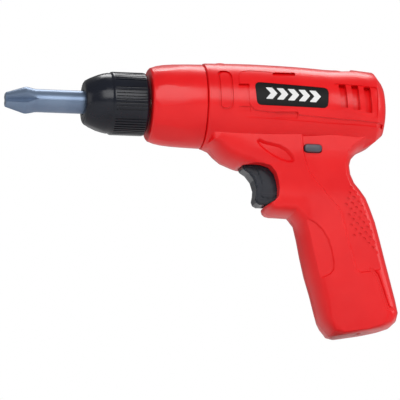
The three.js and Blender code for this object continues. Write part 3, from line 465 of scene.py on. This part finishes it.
window_middle = -0.85
window_half = 22.1
window_foot = -70.3
window_top = 3.3
grip_lean = math.radians(14)


def in_grip(t, h):
    """Side-view place of a point given across the grip (t) and up its axis (h)."""
    return (
        204 + t * math.cos(grip_lean) - h * math.sin(grip_lean),
        -63 + t * math.sin(grip_lean) + h * math.cos(grip_lean),
    )


def window_outline(gap):
    left = window_middle - window_half + gap
    right = window_middle + window_half - gap
    foot = window_foot + gap
    top = window_top - gap
    return rounded([in_grip(left, foot), in_grip(right, foot), in_grip(right, top), in_grip(left, top)], 2, 4)


def slab(low, high, name):
    return prism([(-20, -200), (300, -200), (300, 80), (-20, 80)], low, high, name)


def post(x, z, radius, low, high, name, segments=32):
    """A round peg across the drill, from Y = low to high."""
    bm = bmesh.new()
    place = Matrix.Translation((x, (low + high) / 2, z)) @ Matrix.Rotation(math.pi / 2, 4, "X")
    bmesh.ops.create_cone(
        bm, cap_ends=True, segments=segments, radius1=radius, radius2=radius, depth=high - low, matrix=place,
    )
    return solid(bm, name)


def shaded(obj, material, angle=32):
    """Gives a finished piece its material and smooth shading that stops at edges sharper than angle."""
    bm = bmesh.new()
    bm.from_mesh(obj.data)
    bmesh.ops.dissolve_degenerate(bm, edges=bm.edges[:], dist=1e-6)
    bmesh.ops.triangulate(bm, faces=[f for f in bm.faces if len(f.verts) > 4])
    bm.to_mesh(obj.data)
    bm.free()
    obj.data.materials.clear()
    obj.data.materials.append(material)
    obj.data.polygons.foreach_set("use_smooth", [True] * len(obj.data.polygons))
    obj.data.polygons.foreach_set("material_index", [0] * len(obj.data.polygons))
    obj.data.set_sharp_from_angle(angle=math.radians(angle))
    return obj


# The surface shared by the plastics: moulded grain, faint clouds in the colour, and fine handling marks.
def new_group(name, inputs, outputs):
    """An empty node group with its sockets, and its two end nodes."""
    group = bpy.data.node_groups.new(name, "ShaderNodeTree")
    for label, kind, value in inputs:
        socket = group.interface.new_socket(label, in_out="INPUT", socket_type=kind)
        if value is not None:
            socket.default_value = value
    for label, kind in outputs:
        group.interface.new_socket(label, in_out="OUTPUT", socket_type=kind)
    return group, group.nodes.new("NodeGroupInput"), group.nodes.new("NodeGroupOutput")


def wire(tree, start, end):
    tree.links.new(start, end)


def noise_node(tree, vector, scale, detail=3.0):
    node = tree.nodes.new("ShaderNodeTexNoise")
    node.inputs["Scale"].default_value = scale
    node.inputs["Detail"].default_value = detail
    wire(tree, vector, node.inputs["Vector"])
    return node.outputs["Fac"]


def math_node(tree, operation, a, b=None, clamp=False):
    node = tree.nodes.new("ShaderNodeMath")
    node.operation = operation
    node.use_clamp = clamp
    for socket, value in zip(node.inputs, (a, b)):
        if value is None:
            continue
        if isinstance(value, (int, float)):
            socket.default_value = value
        else:
            wire(tree, value, socket)
    return node.outputs[0]


def ramp_node(tree, value, low, high):
    node = tree.nodes.new("ShaderNodeMapRange")
    node.inputs["From Min"].default_value = low
    node.inputs["From Max"].default_value = high
    wire(tree, value, node.inputs["Value"])
    return node.outputs["Result"]


moulded, g_in, g_out = new_group(
    "moulded_surface",
    [
        ("Vector", "NodeSocketVector", None),
        ("Colour", "NodeSocketColor", (0.8, 0.8, 0.8, 1)),
        ("Deep Colour", "NodeSocketColor", (0.6, 0.6, 0.6, 1)),
        ("Rub Colour", "NodeSocketColor", (0.9, 0.9, 0.9, 1)),
        ("Roughness", "NodeSocketFloat", 0.3),
        ("Spread", "NodeSocketFloat", 0.1),
    ],
    [("Color", "NodeSocketColor"), ("Roughness", "NodeSocketFloat"), ("Height", "NodeSocketFloat")],
)
place = g_in.outputs["Vector"]
cloud = noise_node(moulded, place, 45, 2)
grain = noise_node(moulded, place, 2600, 2)
smudge = noise_node(moulded, place, 130, 4)
stretch = moulded.nodes.new("ShaderNodeMapping")
stretch.inputs["Rotation"].default_value = (0.3, 0.5, 0.4)
stretch.inputs["Scale"].default_value = (60, 900, 900)
wire(moulded, place, stretch.inputs["Vector"])
scratch = ramp_node(moulded, noise_node(moulded, stretch.outputs["Vector"], 1.0, 1), 0.70, 0.76)
blend = moulded.nodes.new("ShaderNodeMix")
blend.data_type = "RGBA"
wire(moulded, ramp_node(moulded, cloud, 0.35, 0.65), blend.inputs["Factor"])
wire(moulded, g_in.outputs["Deep Colour"], blend.inputs["A"])
wire(moulded, g_in.outputs["Colour"], blend.inputs["B"])
rub = moulded.nodes.new("ShaderNodeMix")
rub.data_type = "RGBA"
wire(moulded, math_node(moulded, "MULTIPLY", scratch, 0.12), rub.inputs["Factor"])
wire(moulded, blend.outputs["Result"], rub.inputs["A"])
wire(moulded, g_in.outputs["Rub Colour"], rub.inputs["B"])
wire(moulded, rub.outputs["Result"], g_out.inputs["Color"])
uneven = math_node(moulded, "MULTIPLY", math_node(moulded, "SUBTRACT", smudge, 0.5), g_in.outputs["Spread"])
marked = math_node(moulded, "MULTIPLY", math_node(moulded, "MULTIPLY", scratch, 0.5), g_in.outputs["Spread"])
total = math_node(moulded, "ADD", math_node(moulded, "ADD", g_in.outputs["Roughness"], uneven), marked, True)
wire(moulded, total, g_out.inputs["Roughness"])
height = math_node(moulded, "SUBTRACT", grain, math_node(moulded, "MULTIPLY", scratch, 0.4))
wire(moulded, height, g_out.inputs["Height"])


def moulded_material(
    name, colour, deep, rub_colour, roughness, spread, bump=0.05, coat=0.0, metallic=0.0, specular=0.5,
):
    """A moulded plastic from its colour, its deeper shade, the shade of a rub, and how uneven its gloss is."""
    material = bpy.data.materials.new(name)
    material.use_nodes = True
    tree = material.node_tree
    shader = tree.nodes["Principled BSDF"]
    where = tree.nodes.new("ShaderNodeTexCoord")
    group = tree.nodes.new("ShaderNodeGroup")
    group.node_tree = moulded
    wire(tree, where.outputs["Object"], group.inputs["Vector"])
    group.inputs["Colour"].default_value = (*colour, 1)
    group.inputs["Deep Colour"].default_value = (*deep, 1)
    group.inputs["Rub Colour"].default_value = (*rub_colour, 1)
    group.inputs["Roughness"].default_value = roughness
    group.inputs["Spread"].default_value = spread
    wire(tree, group.outputs["Color"], shader.inputs["Base Color"])
    wire(tree, group.outputs["Roughness"], shader.inputs["Roughness"])
    relief = tree.nodes.new("ShaderNodeBump")
    relief.inputs["Strength"].default_value = bump
    relief.inputs["Distance"].default_value = 0.0001
    wire(tree, group.outputs["Height"], relief.inputs["Height"])
    wire(tree, relief.outputs["Normal"], shader.inputs["Normal"])
    shader.inputs["Coat Weight"].default_value = coat
    shader.inputs["Coat Roughness"].default_value = 0.12
    shader.inputs["Metallic"].default_value = metallic
    shader.inputs["Specular IOR Level"].default_value = specular
    return material


red_abs = moulded_material(
    "red_abs", (0.88, 0.010, 0.012), (0.83, 0.006, 0.009), (0.90, 0.05, 0.05), 0.30, 0.10,
    bump=0.05, coat=0.08, specular=0.34,
)

# Parting line: a fine V along the joint of the halves.
seam_depth = 0.3
seam_half = 0.22
seam_core = combine(widened(pillow(seam_depth, "seam_core")), trimmed_barrel(seam_depth, "seam_barrel"), "UNION")
seam = combine(slab(-seam_half, seam_half, "seam"), seam_core, "DIFFERENCE")
combine(shell, seam, "DIFFERENCE")

head_clearance = 0.35
boss_wall = 1.5
shank_length = 8
screw_places = [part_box("housing_screw_%d" % number) for number in range(1, 8)]
for low, high in screw_places:
    middle = (low + high) / 2 / MM
    radius = (high.x - low.x) / 2 / MM
    tube = post(middle.x, middle.z, radius + boss_wall, 0.5, 30, "tube")
    outer_again = combine(widened(pillow(1.0, "tube_limit")), trimmed_barrel(1.0, "tube_barrel"), "UNION")
    combine(tube, outer_again, "INTERSECT")
    combine(shell, tube, "UNION")
    counterbore = post(middle.x, middle.z, radius + head_clearance, low.y / MM + shank_length, 32, "counterbore")
    combine(shell, counterbore, "DIFFERENCE")

left = combine(copy_of(shell, "left_shell"), slab(-60, -parting_gap, "left_side"), "INTERSECT")
right = combine(shell, slab(parting_gap, 60, "right_side"), "INTERSECT")
right.name = "right_shell"
combine(right, prism(window_outline(0), 5, 40, "window"), "DIFFERENCE")
for half, node in ((left, "left_housing"), (right, "right_housing")):
    shaded(half, red_abs)
    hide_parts(node)
    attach(half, "body")

# ---------------------------------------------------------------- battery door
# A moulded cover of the same red ABS over the three cells, on the right of the grip.
# It hooks in at its foot, swings down, and one captive screw near its top holds it shut.

door = combine(door_blank, prism(window_outline(0.3), 5, 40, "door_edge"), "INTERSECT")
door_wall = 2.0
combine(door, widened(pillow(door_wall, "door_hollow")), "DIFFERENCE")
screw_low, screw_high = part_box("battery_door_screw")
screw_middle = (screw_low + screw_high) / 2 / MM
screw_head = (screw_high.x - screw_low.x) / 2 / MM
notch_left, notch_right, notch_height = 0.5, 12.5, 1.1
for row in range(5):
    h = -54 - row * 2.4
    top = h + notch_height
    notch = [in_grip(notch_left, h), in_grip(notch_right, h), in_grip(notch_right, top), in_grip(notch_left, top)]
    combine(door, prism(rounded(notch, 0.5, 3), 16.2, 40, "door_grip"), "DIFFERENCE")
recess_floor = screw_high.y / MM - 1.2
recess = post(screw_middle.x, screw_middle.z, screw_head + head_clearance, recess_floor, 32, "door_recess")
combine(door, recess, "DIFFERENCE")
door.name = "door_cover"
shaded(door, red_abs)
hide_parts("battery_door")
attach(door, "door")

# ---------------------------------------------------------------- nose collar
# A separate turned-looking moulding of the red ABS between the chuck and the barrel, with a light lip in front.
# Its spigot reaches back into the front of the halves; six faint flats run back from its front edge.

nose_profile = [
    (89.3, 9.6), (89.0, 20.8), (89.2, 22.0), (90.0, 22.9), (91.3, 23.3), (93.4, 24.1), (97.6, 24.9), (104, 25.5),
    (113, 25.9), (121.4, 26.1), (122.0, 26.0), (122.3, 25.5), (122.3, 20.8), (128.4, 20.8), (128.4, 18.8),
    (100.4, 18.8), (100.4, 9.6),
]


def turned_ring(profile, name, steps=144):
    """A turned solid with a bore, from a closed (x, radius) profile."""
    bm = bmesh.new()
    verts = [bm.verts.new((x, 0, r)) for x, r in profile]
    edges = [bm.edges.new((verts[i - 1], verts[i])) for i in range(len(verts))]
    bmesh.ops.spin(
        bm, geom=verts + edges, cent=(0, 0, 0), axis=(1, 0, 0), angle=math.tau, steps=steps, use_merge=True,
    )
    return solid(bm, name)


def shaved(obj, point, normal):
    """Cuts a flat facet off a closed solid at point (mm), removing what lies along normal."""
    bm = bmesh.new()
    bm.from_mesh(obj.data)
    bmesh.ops.bisect_plane(
        bm, geom=bm.verts[:] + bm.edges[:] + bm.faces[:], plane_co=Vector(point) * MM, plane_no=normal,
        dist=1e-7, clear_outer=True,
    )
    bmesh.ops.holes_fill(bm, edges=[e for e in bm.edges if e.is_boundary], sides=0)
    bm.to_mesh(obj.data)
    bm.free()
    return obj


nose = turned_ring(nose_profile, "nose_ring")
for k in range(6):
    turn = math.radians(k * 60 + 34)
    slope = math.radians(8.0)
    radial = Vector((0, math.sin(turn), math.cos(turn)))
    normal = (radial * math.cos(slope) + Vector((-1, 0, 0)) * math.sin(slope)).normalized()
    shaved(nose, Vector((93.0, 0, 0)) + radial * 23.35, normal)
shaded(nose, red_abs, 24)
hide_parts("nose_collar")
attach(nose, "body")

# ---------------------------------------------------------------- chuck
# A black glossy moulding that grips nothing: a stepped cone in front of a sleeve with ribs in six groups.
# A screw from the front holds it on the spindle, and the bit is pushed into its socket.

chuck_profile = [
    (48.6, 7.7), (48.6, 11.6), (48.8, 12.6), (49.5, 13.6), (52.6, 15.4), (57.0, 17.3), (60.6, 18.3), (63.4, 18.8),
    (64.1, 18.7), (64.8, 18.9), (65.4, 19.4), (66.2, 19.6), (85.2, 19.6), (86.2, 19.4), (87.0, 18.8), (87.5, 17.6),
    (87.5, 6.9), (78, 6.9), (78, 7.7),
]
chuck = turned_ring(chuck_profile, "chuck_body")
bm = bmesh.new()
for sector in range(6):
    for k in range(8):
        turn = math.radians(sector * 60 + 9 + k * 6)
        place = Matrix.Rotation(-turn, 4, "X") @ Matrix.Translation((76.2, 0, 19.9))
        made = bmesh.ops.create_cube(bm, size=1, matrix=place @ Matrix.Diagonal((19.4, 0.85, 2.0, 1)))
        edges = [e for e in bm.edges if all(v in made["verts"] for v in e.verts)]
        along = [e for e in edges if abs(e.verts[0].co.x - e.verts[1].co.x) > 5]
        low = [e for e in along if sum((v.co.yz.length for v in e.verts)) / 2 < 19.6]
        bmesh.ops.bevel(bm, geom=low, offset=0.22, affect="EDGES", segments=2, profile=0.5, material=-1)
grooves = solid(bm, "grooves")
combine(chuck, grooves, "DIFFERENCE")
for k in range(6):
    turn = math.radians(k * 60)
    slope = math.radians(21)
    radial = Vector((0, math.sin(turn), math.cos(turn)))
    normal = (radial * math.cos(slope) - Vector((1, 0, 0)) * math.sin(slope)).normalized()
    shaved(chuck, Vector((56, 0, 0)) + radial * 16.35, normal)
black_abs = moulded_material(
    "black_abs", (0.009, 0.011, 0.019), (0.006, 0.007, 0.013), (0.05, 0.055, 0.07), 0.24, 0.10,
    bump=0.06, coat=0.1, specular=0.32,
)
shaded(chuck, black_abs, 26)
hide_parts("chuck_sleeve")
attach(chuck, "chuck")

# ---------------------------------------------------------------- screwdriver bit
# One moulding in blue-grey pearl plastic: a cross tip with four V flutes, a flared head, and a round shank.
# It pushes into the chuck's socket.

bit_profile = [
    (0, 0), (0, 4.3), (0.25, 4.7), (11.2, 8.1), (12.4, 8.4), (13.6, 8.3), (18.4, 7.25), (20.0, 7.15), (47, 7.15),
    (70.6, 6.9), (71.3, 6.2), (71.3, 0),
]
bit = spun(bit_profile, "bit_shank", 96)
for k in range(4):
    turn = Matrix.Rotation(math.radians(90 * k + 90), 4, "X")
    bm = bmesh.new()
    rings = []
    for x, depth in ((-3, 1.6), (21.0, 7.3)):
        reach = 9
        ring = []
        for y, z in ((0, 0), (1.1 * reach, reach), (-1.1 * reach, reach)):
            ring.append(bm.verts.new(turn @ Vector((x, y, depth + z))))
        rings.append(ring)
    for i in range(3):
        bm.faces.new((rings[0][i - 1], rings[0][i], rings[1][i], rings[1][i - 1]))
    bm.faces.new(rings[0])
    bm.faces.new(rings[1])
    combine(bit, solid(bm, "flute"), "DIFFERENCE")
blue_grey = moulded_material(
    "blue_grey_pearl", (0.20, 0.27, 0.39), (0.15, 0.21, 0.32), (0.42, 0.50, 0.62), 0.33, 0.12,
    bump=0.05, metallic=0.55,
)
shaded(bit, blue_grey, 28)
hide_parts("screwdriver_bit")
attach(bit, "bit")

# ---------------------------------------------------------------- trigger
# A black moulding with a hollow front for the finger and a raised pad on each side.
# It slides 5 mm back between the halves against its spring.

trigger_outline = [
    (147.4, -37.0), (147.9, -39.6), (151.6, -42.0), (154.8, -46.2), (156.3, -51.4), (156.1, -54.6), (155.4, -58.0),
    (156.2, -60.4), (158.3, -61.6), (162.4, -61.6), (164.6, -60.4), (167.2, -58.8), (171.4, -58.2),
    (172.4, -52), (172.0, -44),
    (169.6, -38.4), (164, -36.2),
]
trigger = None
for half, inset in ((7.9, 1.0), (7.6, 0.5), (7.1, 0.15), (6.4, 0)):
    shrunk = offset_outline(trigger_outline, [inset] * len(trigger_outline))
    layer = prism(rounded(shrunk, 0.8, 3), -half, half, "trigger_blade")
    trigger = combine(trigger, layer, "UNION") if trigger else layer
pad_outline = [
    (156.4, -37.6), (165.4, -38.4), (168.0, -40.8), (169.8, -46.0), (170.0, -51.2), (168.9, -55.4), (165.2, -57.8),
    (160.0, -57.2), (159.0, -56.0), (159.8, -50.2), (159.0, -45.4), (156.6, -40.4),
]
for half, inset in ((8.35, 0.35), (8.6, 0.8)):
    shrunk = offset_outline(pad_outline, [inset - 0.35] * len(pad_outline))
    trigger = combine(trigger, prism(rounded(shrunk, 1.3, 3), -half, half, "trigger_pad"), "UNION")
trigger_black = moulded_material(
    "trigger_black", (0.016, 0.020, 0.032), (0.010, 0.013, 0.022), (0.08, 0.09, 0.11), 0.27, 0.10,
    bump=0.06, coat=0.1, specular=0.32,
)
shaded(trigger, trigger_black, 30)
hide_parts("trigger")
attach(trigger, "trigger")

# ---------------------------------------------------------------- direction button
# A dark grey cross bar with oval ends, proud of the left side at rest and pushed through to the right.
# Its slot in each half is the same oval with a clearance, and its middle works the direction switch.

bar_low, bar_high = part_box("direction_bar")
bar = prism(oval(189.7, -27.2, 5.4, 2.4), bar_low.y / MM, bar_high.y / MM, "direction_button", rim=0.7)
grey_abs = moulded_material(
    "dark_grey_abs", (0.085, 0.085, 0.105), (0.06, 0.06, 0.078), (0.2, 0.2, 0.22), 0.40, 0.12, bump=0.08,
)
shaded(bar, grey_abs, 30)
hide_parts("direction_bar")
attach(bar, "direction")

# ---------------------------------------------------------------- label plates
# A thin black plate sunk in each side of the barrel, glued to its seat.
# The real one carries a word in white; these carry a row of plain white arrowheads instead.

label_black = moulded_material(
    "label_black", (0.006, 0.005, 0.005), (0.004, 0.004, 0.004), (0.03, 0.03, 0.03), 0.45, 0.08,
    bump=0.03, specular=0.2,
)
label_white = moulded_material(
    "label_white", (0.86, 0.86, 0.85), (0.80, 0.80, 0.80), (0.7, 0.7, 0.7), 0.42, 0.08, bump=0.03,
)
plate_outline = offset_outline(label_seat, [0.22] * len(label_seat))


def wrapped(outline, outer, inner_depth, low, high, name):
    """A thin piece of an (x, z) outline lying on the barrel between two depths."""
    piece = combine(prism(outline, low, high, name), barrel(outer, name + "_out"), "INTERSECT")
    return combine(piece, barrel(inner_depth, name + "_in"), "DIFFERENCE")


def chevrons():
    """Five bold arrowheads in a row, centred on the plate."""
    outlines = []
    for k in range(5):
        x = 158.2 + k * 6.9
        middle = 4.9 - k * 0.22
        half = 3.7
        outlines.append([
            (x, middle + half), (x + 4.2, middle + half), (x + 7.4, middle), (x + 4.2, middle - half),
            (x, middle - half), (x + 3.2, middle),
        ])
    return outlines


for side, low, high in (("left", -40, -5), ("right", 5, 40)):
    plate = wrapped(plate_outline, 0.12, 0.54, low, high, "label_" + side)
    shaded(plate, label_black, 30)
    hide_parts("label_plate_" + side)
    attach(plate, "body")
    marks = None
    for outline in chevrons():
        mark = wrapped(rounded(outline, 0.3, 2), 0.07, 0.2, low, high, "marks_" + side)
        marks = combine(marks, mark, "UNION") if marks else mark
    shaded(marks, label_white, 30)
    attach(marks, "body")

# ---------------------------------------------------------------- inner pieces
# Screws, gears, motor, cells, contacts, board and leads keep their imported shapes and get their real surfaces.
# Each takes the material of its slot in the record.

metal, m_in, m_out = new_group(
    "worked_metal",
    [
        ("Vector", "NodeSocketVector", None),
        ("Colour", "NodeSocketColor", (0.6, 0.6, 0.6, 1)),
        ("Tarnish", "NodeSocketColor", (0.3, 0.28, 0.25, 1)),
        ("Roughness", "NodeSocketFloat", 0.3),
    ],
    [("Color", "NodeSocketColor"), ("Roughness", "NodeSocketFloat"), ("Height", "NodeSocketFloat")],
)
spread = m_in.outputs["Vector"]
patch = ramp_node(metal, noise_node(metal, spread, 220, 4), 0.45, 0.72)
comb = metal.nodes.new("ShaderNodeMapping")
comb.inputs["Scale"].default_value = (300, 6000, 6000)
wire(metal, spread, comb.inputs["Vector"])
brushing = noise_node(metal, comb.outputs["Vector"], 1.0, 2)
tint = metal.nodes.new("ShaderNodeMix")
tint.data_type = "RGBA"
wire(metal, math_node(metal, "MULTIPLY", patch, 0.6), tint.inputs["Factor"])
wire(metal, m_in.outputs["Colour"], tint.inputs["A"])
wire(metal, m_in.outputs["Tarnish"], tint.inputs["B"])
wire(metal, tint.outputs["Result"], m_out.inputs["Color"])
worn = math_node(metal, "ADD", m_in.outputs["Roughness"], math_node(metal, "MULTIPLY", brushing, 0.2), True)
wire(metal, worn, m_out.inputs["Roughness"])
wire(metal, brushing, m_out.inputs["Height"])


def metal_material(name, colour, tarnish, roughness):
    material = bpy.data.materials.new(name)
    material.use_nodes = True
    tree = material.node_tree
    shader = tree.nodes["Principled BSDF"]
    where = tree.nodes.new("ShaderNodeTexCoord")
    group = tree.nodes.new("ShaderNodeGroup")
    group.node_tree = metal
    wire(tree, where.outputs["Object"], group.inputs["Vector"])
    group.inputs["Colour"].default_value = (*colour, 1)
    group.inputs["Tarnish"].default_value = (*tarnish, 1)
    group.inputs["Roughness"].default_value = roughness
    wire(tree, group.outputs["Color"], shader.inputs["Base Color"])
    wire(tree, group.outputs["Roughness"], shader.inputs["Roughness"])
    relief = tree.nodes.new("ShaderNodeBump")
    relief.inputs["Strength"].default_value = 0.08
    relief.inputs["Distance"].default_value = 0.0001
    wire(tree, group.outputs["Height"], relief.inputs["Height"])
    wire(tree, relief.outputs["Normal"], shader.inputs["Normal"])
    shader.inputs["Metallic"].default_value = 1.0
    return material


slot_materials = {
    "steel": metal_material("zinc_steel", (0.56, 0.57, 0.59), (0.30, 0.29, 0.27), 0.22),
    "brass": metal_material("brass_turned", (0.72, 0.53, 0.24), (0.42, 0.30, 0.14), 0.22),
    "copper": metal_material("phosphor_bronze", (0.72, 0.40, 0.24), (0.40, 0.22, 0.14), 0.25),
    "red_plastic": red_abs,
    "black_plastic": black_abs,
    "grey_plastic": grey_abs,
    "bit_plastic": blue_grey,
    "label": label_black,
    "white_plastic": moulded_material(
        "white_acetal", (0.80, 0.79, 0.75), (0.72, 0.71, 0.67), (0.9, 0.9, 0.88), 0.38, 0.1, bump=0.05,
    ),
    "board": moulded_material(
        "board_laminate", (0.22, 0.13, 0.05), (0.17, 0.10, 0.04), (0.30, 0.2, 0.1), 0.5, 0.12, bump=0.1,
    ),
    "cell": moulded_material(
        "cell_sleeve", (0.04, 0.10, 0.22), (0.03, 0.075, 0.17), (0.3, 0.32, 0.36), 0.3, 0.1, bump=0.03, coat=0.4,
    ),
    "lead_red": moulded_material(
        "lead_red_pvc", (0.55, 0.02, 0.015), (0.45, 0.015, 0.012), (0.6, 0.1, 0.1), 0.45, 0.1, bump=0.08,
    ),
    "lead_black": moulded_material(
        "lead_black_pvc", (0.02, 0.02, 0.02), (0.012, 0.012, 0.012), (0.1, 0.1, 0.1), 0.45, 0.1, bump=0.08,
    ),
}
for row in frame["record"]["subparts"]:
    node = frame["nodes"][row["node"]]
    node.data.materials.clear()
    node.data.materials.append(slot_materials[row["material_slot"]])

# ---------------------------------------------------------------- battery tray
# A black moulded tray that holds the three cells side by side and their contacts, dropped into the grip.
# Its outer corners follow the inside of the grip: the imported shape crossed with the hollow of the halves.


def tidy_copy(node):
    """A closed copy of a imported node's mesh."""
    bm = bmesh.new()
    bm.from_mesh(frame["nodes"][node].data)
    bmesh.ops.remove_doubles(bm, verts=bm.verts, dist=1e-6)
    mesh = bpy.data.meshes.new(node + "_shown")
    bm.to_mesh(mesh)
    bm.free()
    twin = bpy.data.objects.new(node + "_shown", mesh)
    bpy.context.scene.collection.objects.link(twin)
    return twin


tray = combine(tidy_copy("battery_tray"), hollow, "INTERSECT")
shaded(tray, black_abs, 30)
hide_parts("battery_tray")
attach(tray, "body")

# ---------------------------------------------------------------- floor and light
# A pale floor under the grip, seen through from below, a large soft light over the left front,
# and weaker ones for the other sides; whatever looks straight past the drill sees white.

floor_material = bpy.data.materials.new("pale_floor")
floor_material.use_nodes = True
tree = floor_material.node_tree
tree.nodes["Principled BSDF"].inputs["Base Color"].default_value = (0.86, 0.86, 0.86, 1)
tree.nodes["Principled BSDF"].inputs["Roughness"].default_value = 0.7
tree.nodes["Principled BSDF"].inputs["Specular IOR Level"].default_value = 0.2
clear = tree.nodes.new("ShaderNodeBsdfTransparent")
choose = tree.nodes.new("ShaderNodeMixShader")
facing = tree.nodes.new("ShaderNodeNewGeometry")
wire(tree, facing.outputs["Backfacing"], choose.inputs["Fac"])
wire(tree, tree.nodes["Principled BSDF"].outputs[0], choose.inputs[1])
wire(tree, clear.outputs[0], choose.inputs[2])
wire(tree, choose.outputs[0], tree.nodes["Material Output"].inputs["Surface"])
floor_gap = 0.004
floor_half = 3
floor_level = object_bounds()[0].z - floor_gap
bm = bmesh.new()
bmesh.ops.create_grid(
    bm, x_segments=1, y_segments=1, size=floor_half, matrix=Matrix.Translation((0.12, 0, floor_level)),
)
floor_mesh = bpy.data.meshes.new("floor")
bm.to_mesh(floor_mesh)
bm.free()
floor = bpy.data.objects.new("floor", floor_mesh)
floor_mesh.materials.append(floor_material)
bpy.context.scene.collection.objects.link(floor)

world = bpy.data.worlds.new("studio")
bpy.context.scene.world = world
world.use_nodes = True
tree = world.node_tree
plain = tree.nodes["Background"]
plain.inputs["Color"].default_value = (1, 1, 1, 1)
plain.inputs["Strength"].default_value = 0.22
seen = tree.nodes.new("ShaderNodeBackground")
seen.inputs["Color"].default_value = (1, 1, 1, 1)
seen.inputs["Strength"].default_value = 1.0
rays = tree.nodes.new("ShaderNodeLightPath")
pick = tree.nodes.new("ShaderNodeMixShader")
wire(tree, rays.outputs["Is Camera Ray"], pick.inputs["Fac"])
wire(tree, plain.outputs[0], pick.inputs[1])
wire(tree, seen.outputs[0], pick.inputs[2])
wire(tree, pick.outputs[0], tree.nodes["World Output"].inputs["Surface"])


def area_light(name, power, size, spot, colour=(1, 1, 1)):
    data = bpy.data.lights.new(name, "AREA")
    data.energy = power
    data.shape = "RECTANGLE"
    data.size = size[0]
    data.size_y = size[1]
    data.color = colour
    lamp = bpy.data.objects.new(name, data)
    lamp.location = spot
    lamp.rotation_euler = (lamp.location - aim).to_track_quat("Z", "Y").to_euler()
    bpy.context.scene.collection.objects.link(lamp)


area_light("key", 17, (1.5, 1.0), (0.05, -1.65, 0.8))
area_light("fill_front", 2, (0.8, 0.8), (-1.2, -0.5, 0.3))
area_light("fill_rear", 6, (0.9, 0.9), (1.3, -0.3, 0.5))
area_light("far_side", 12, (1.0, 0.7), (0.4, 0.85, 1.55))
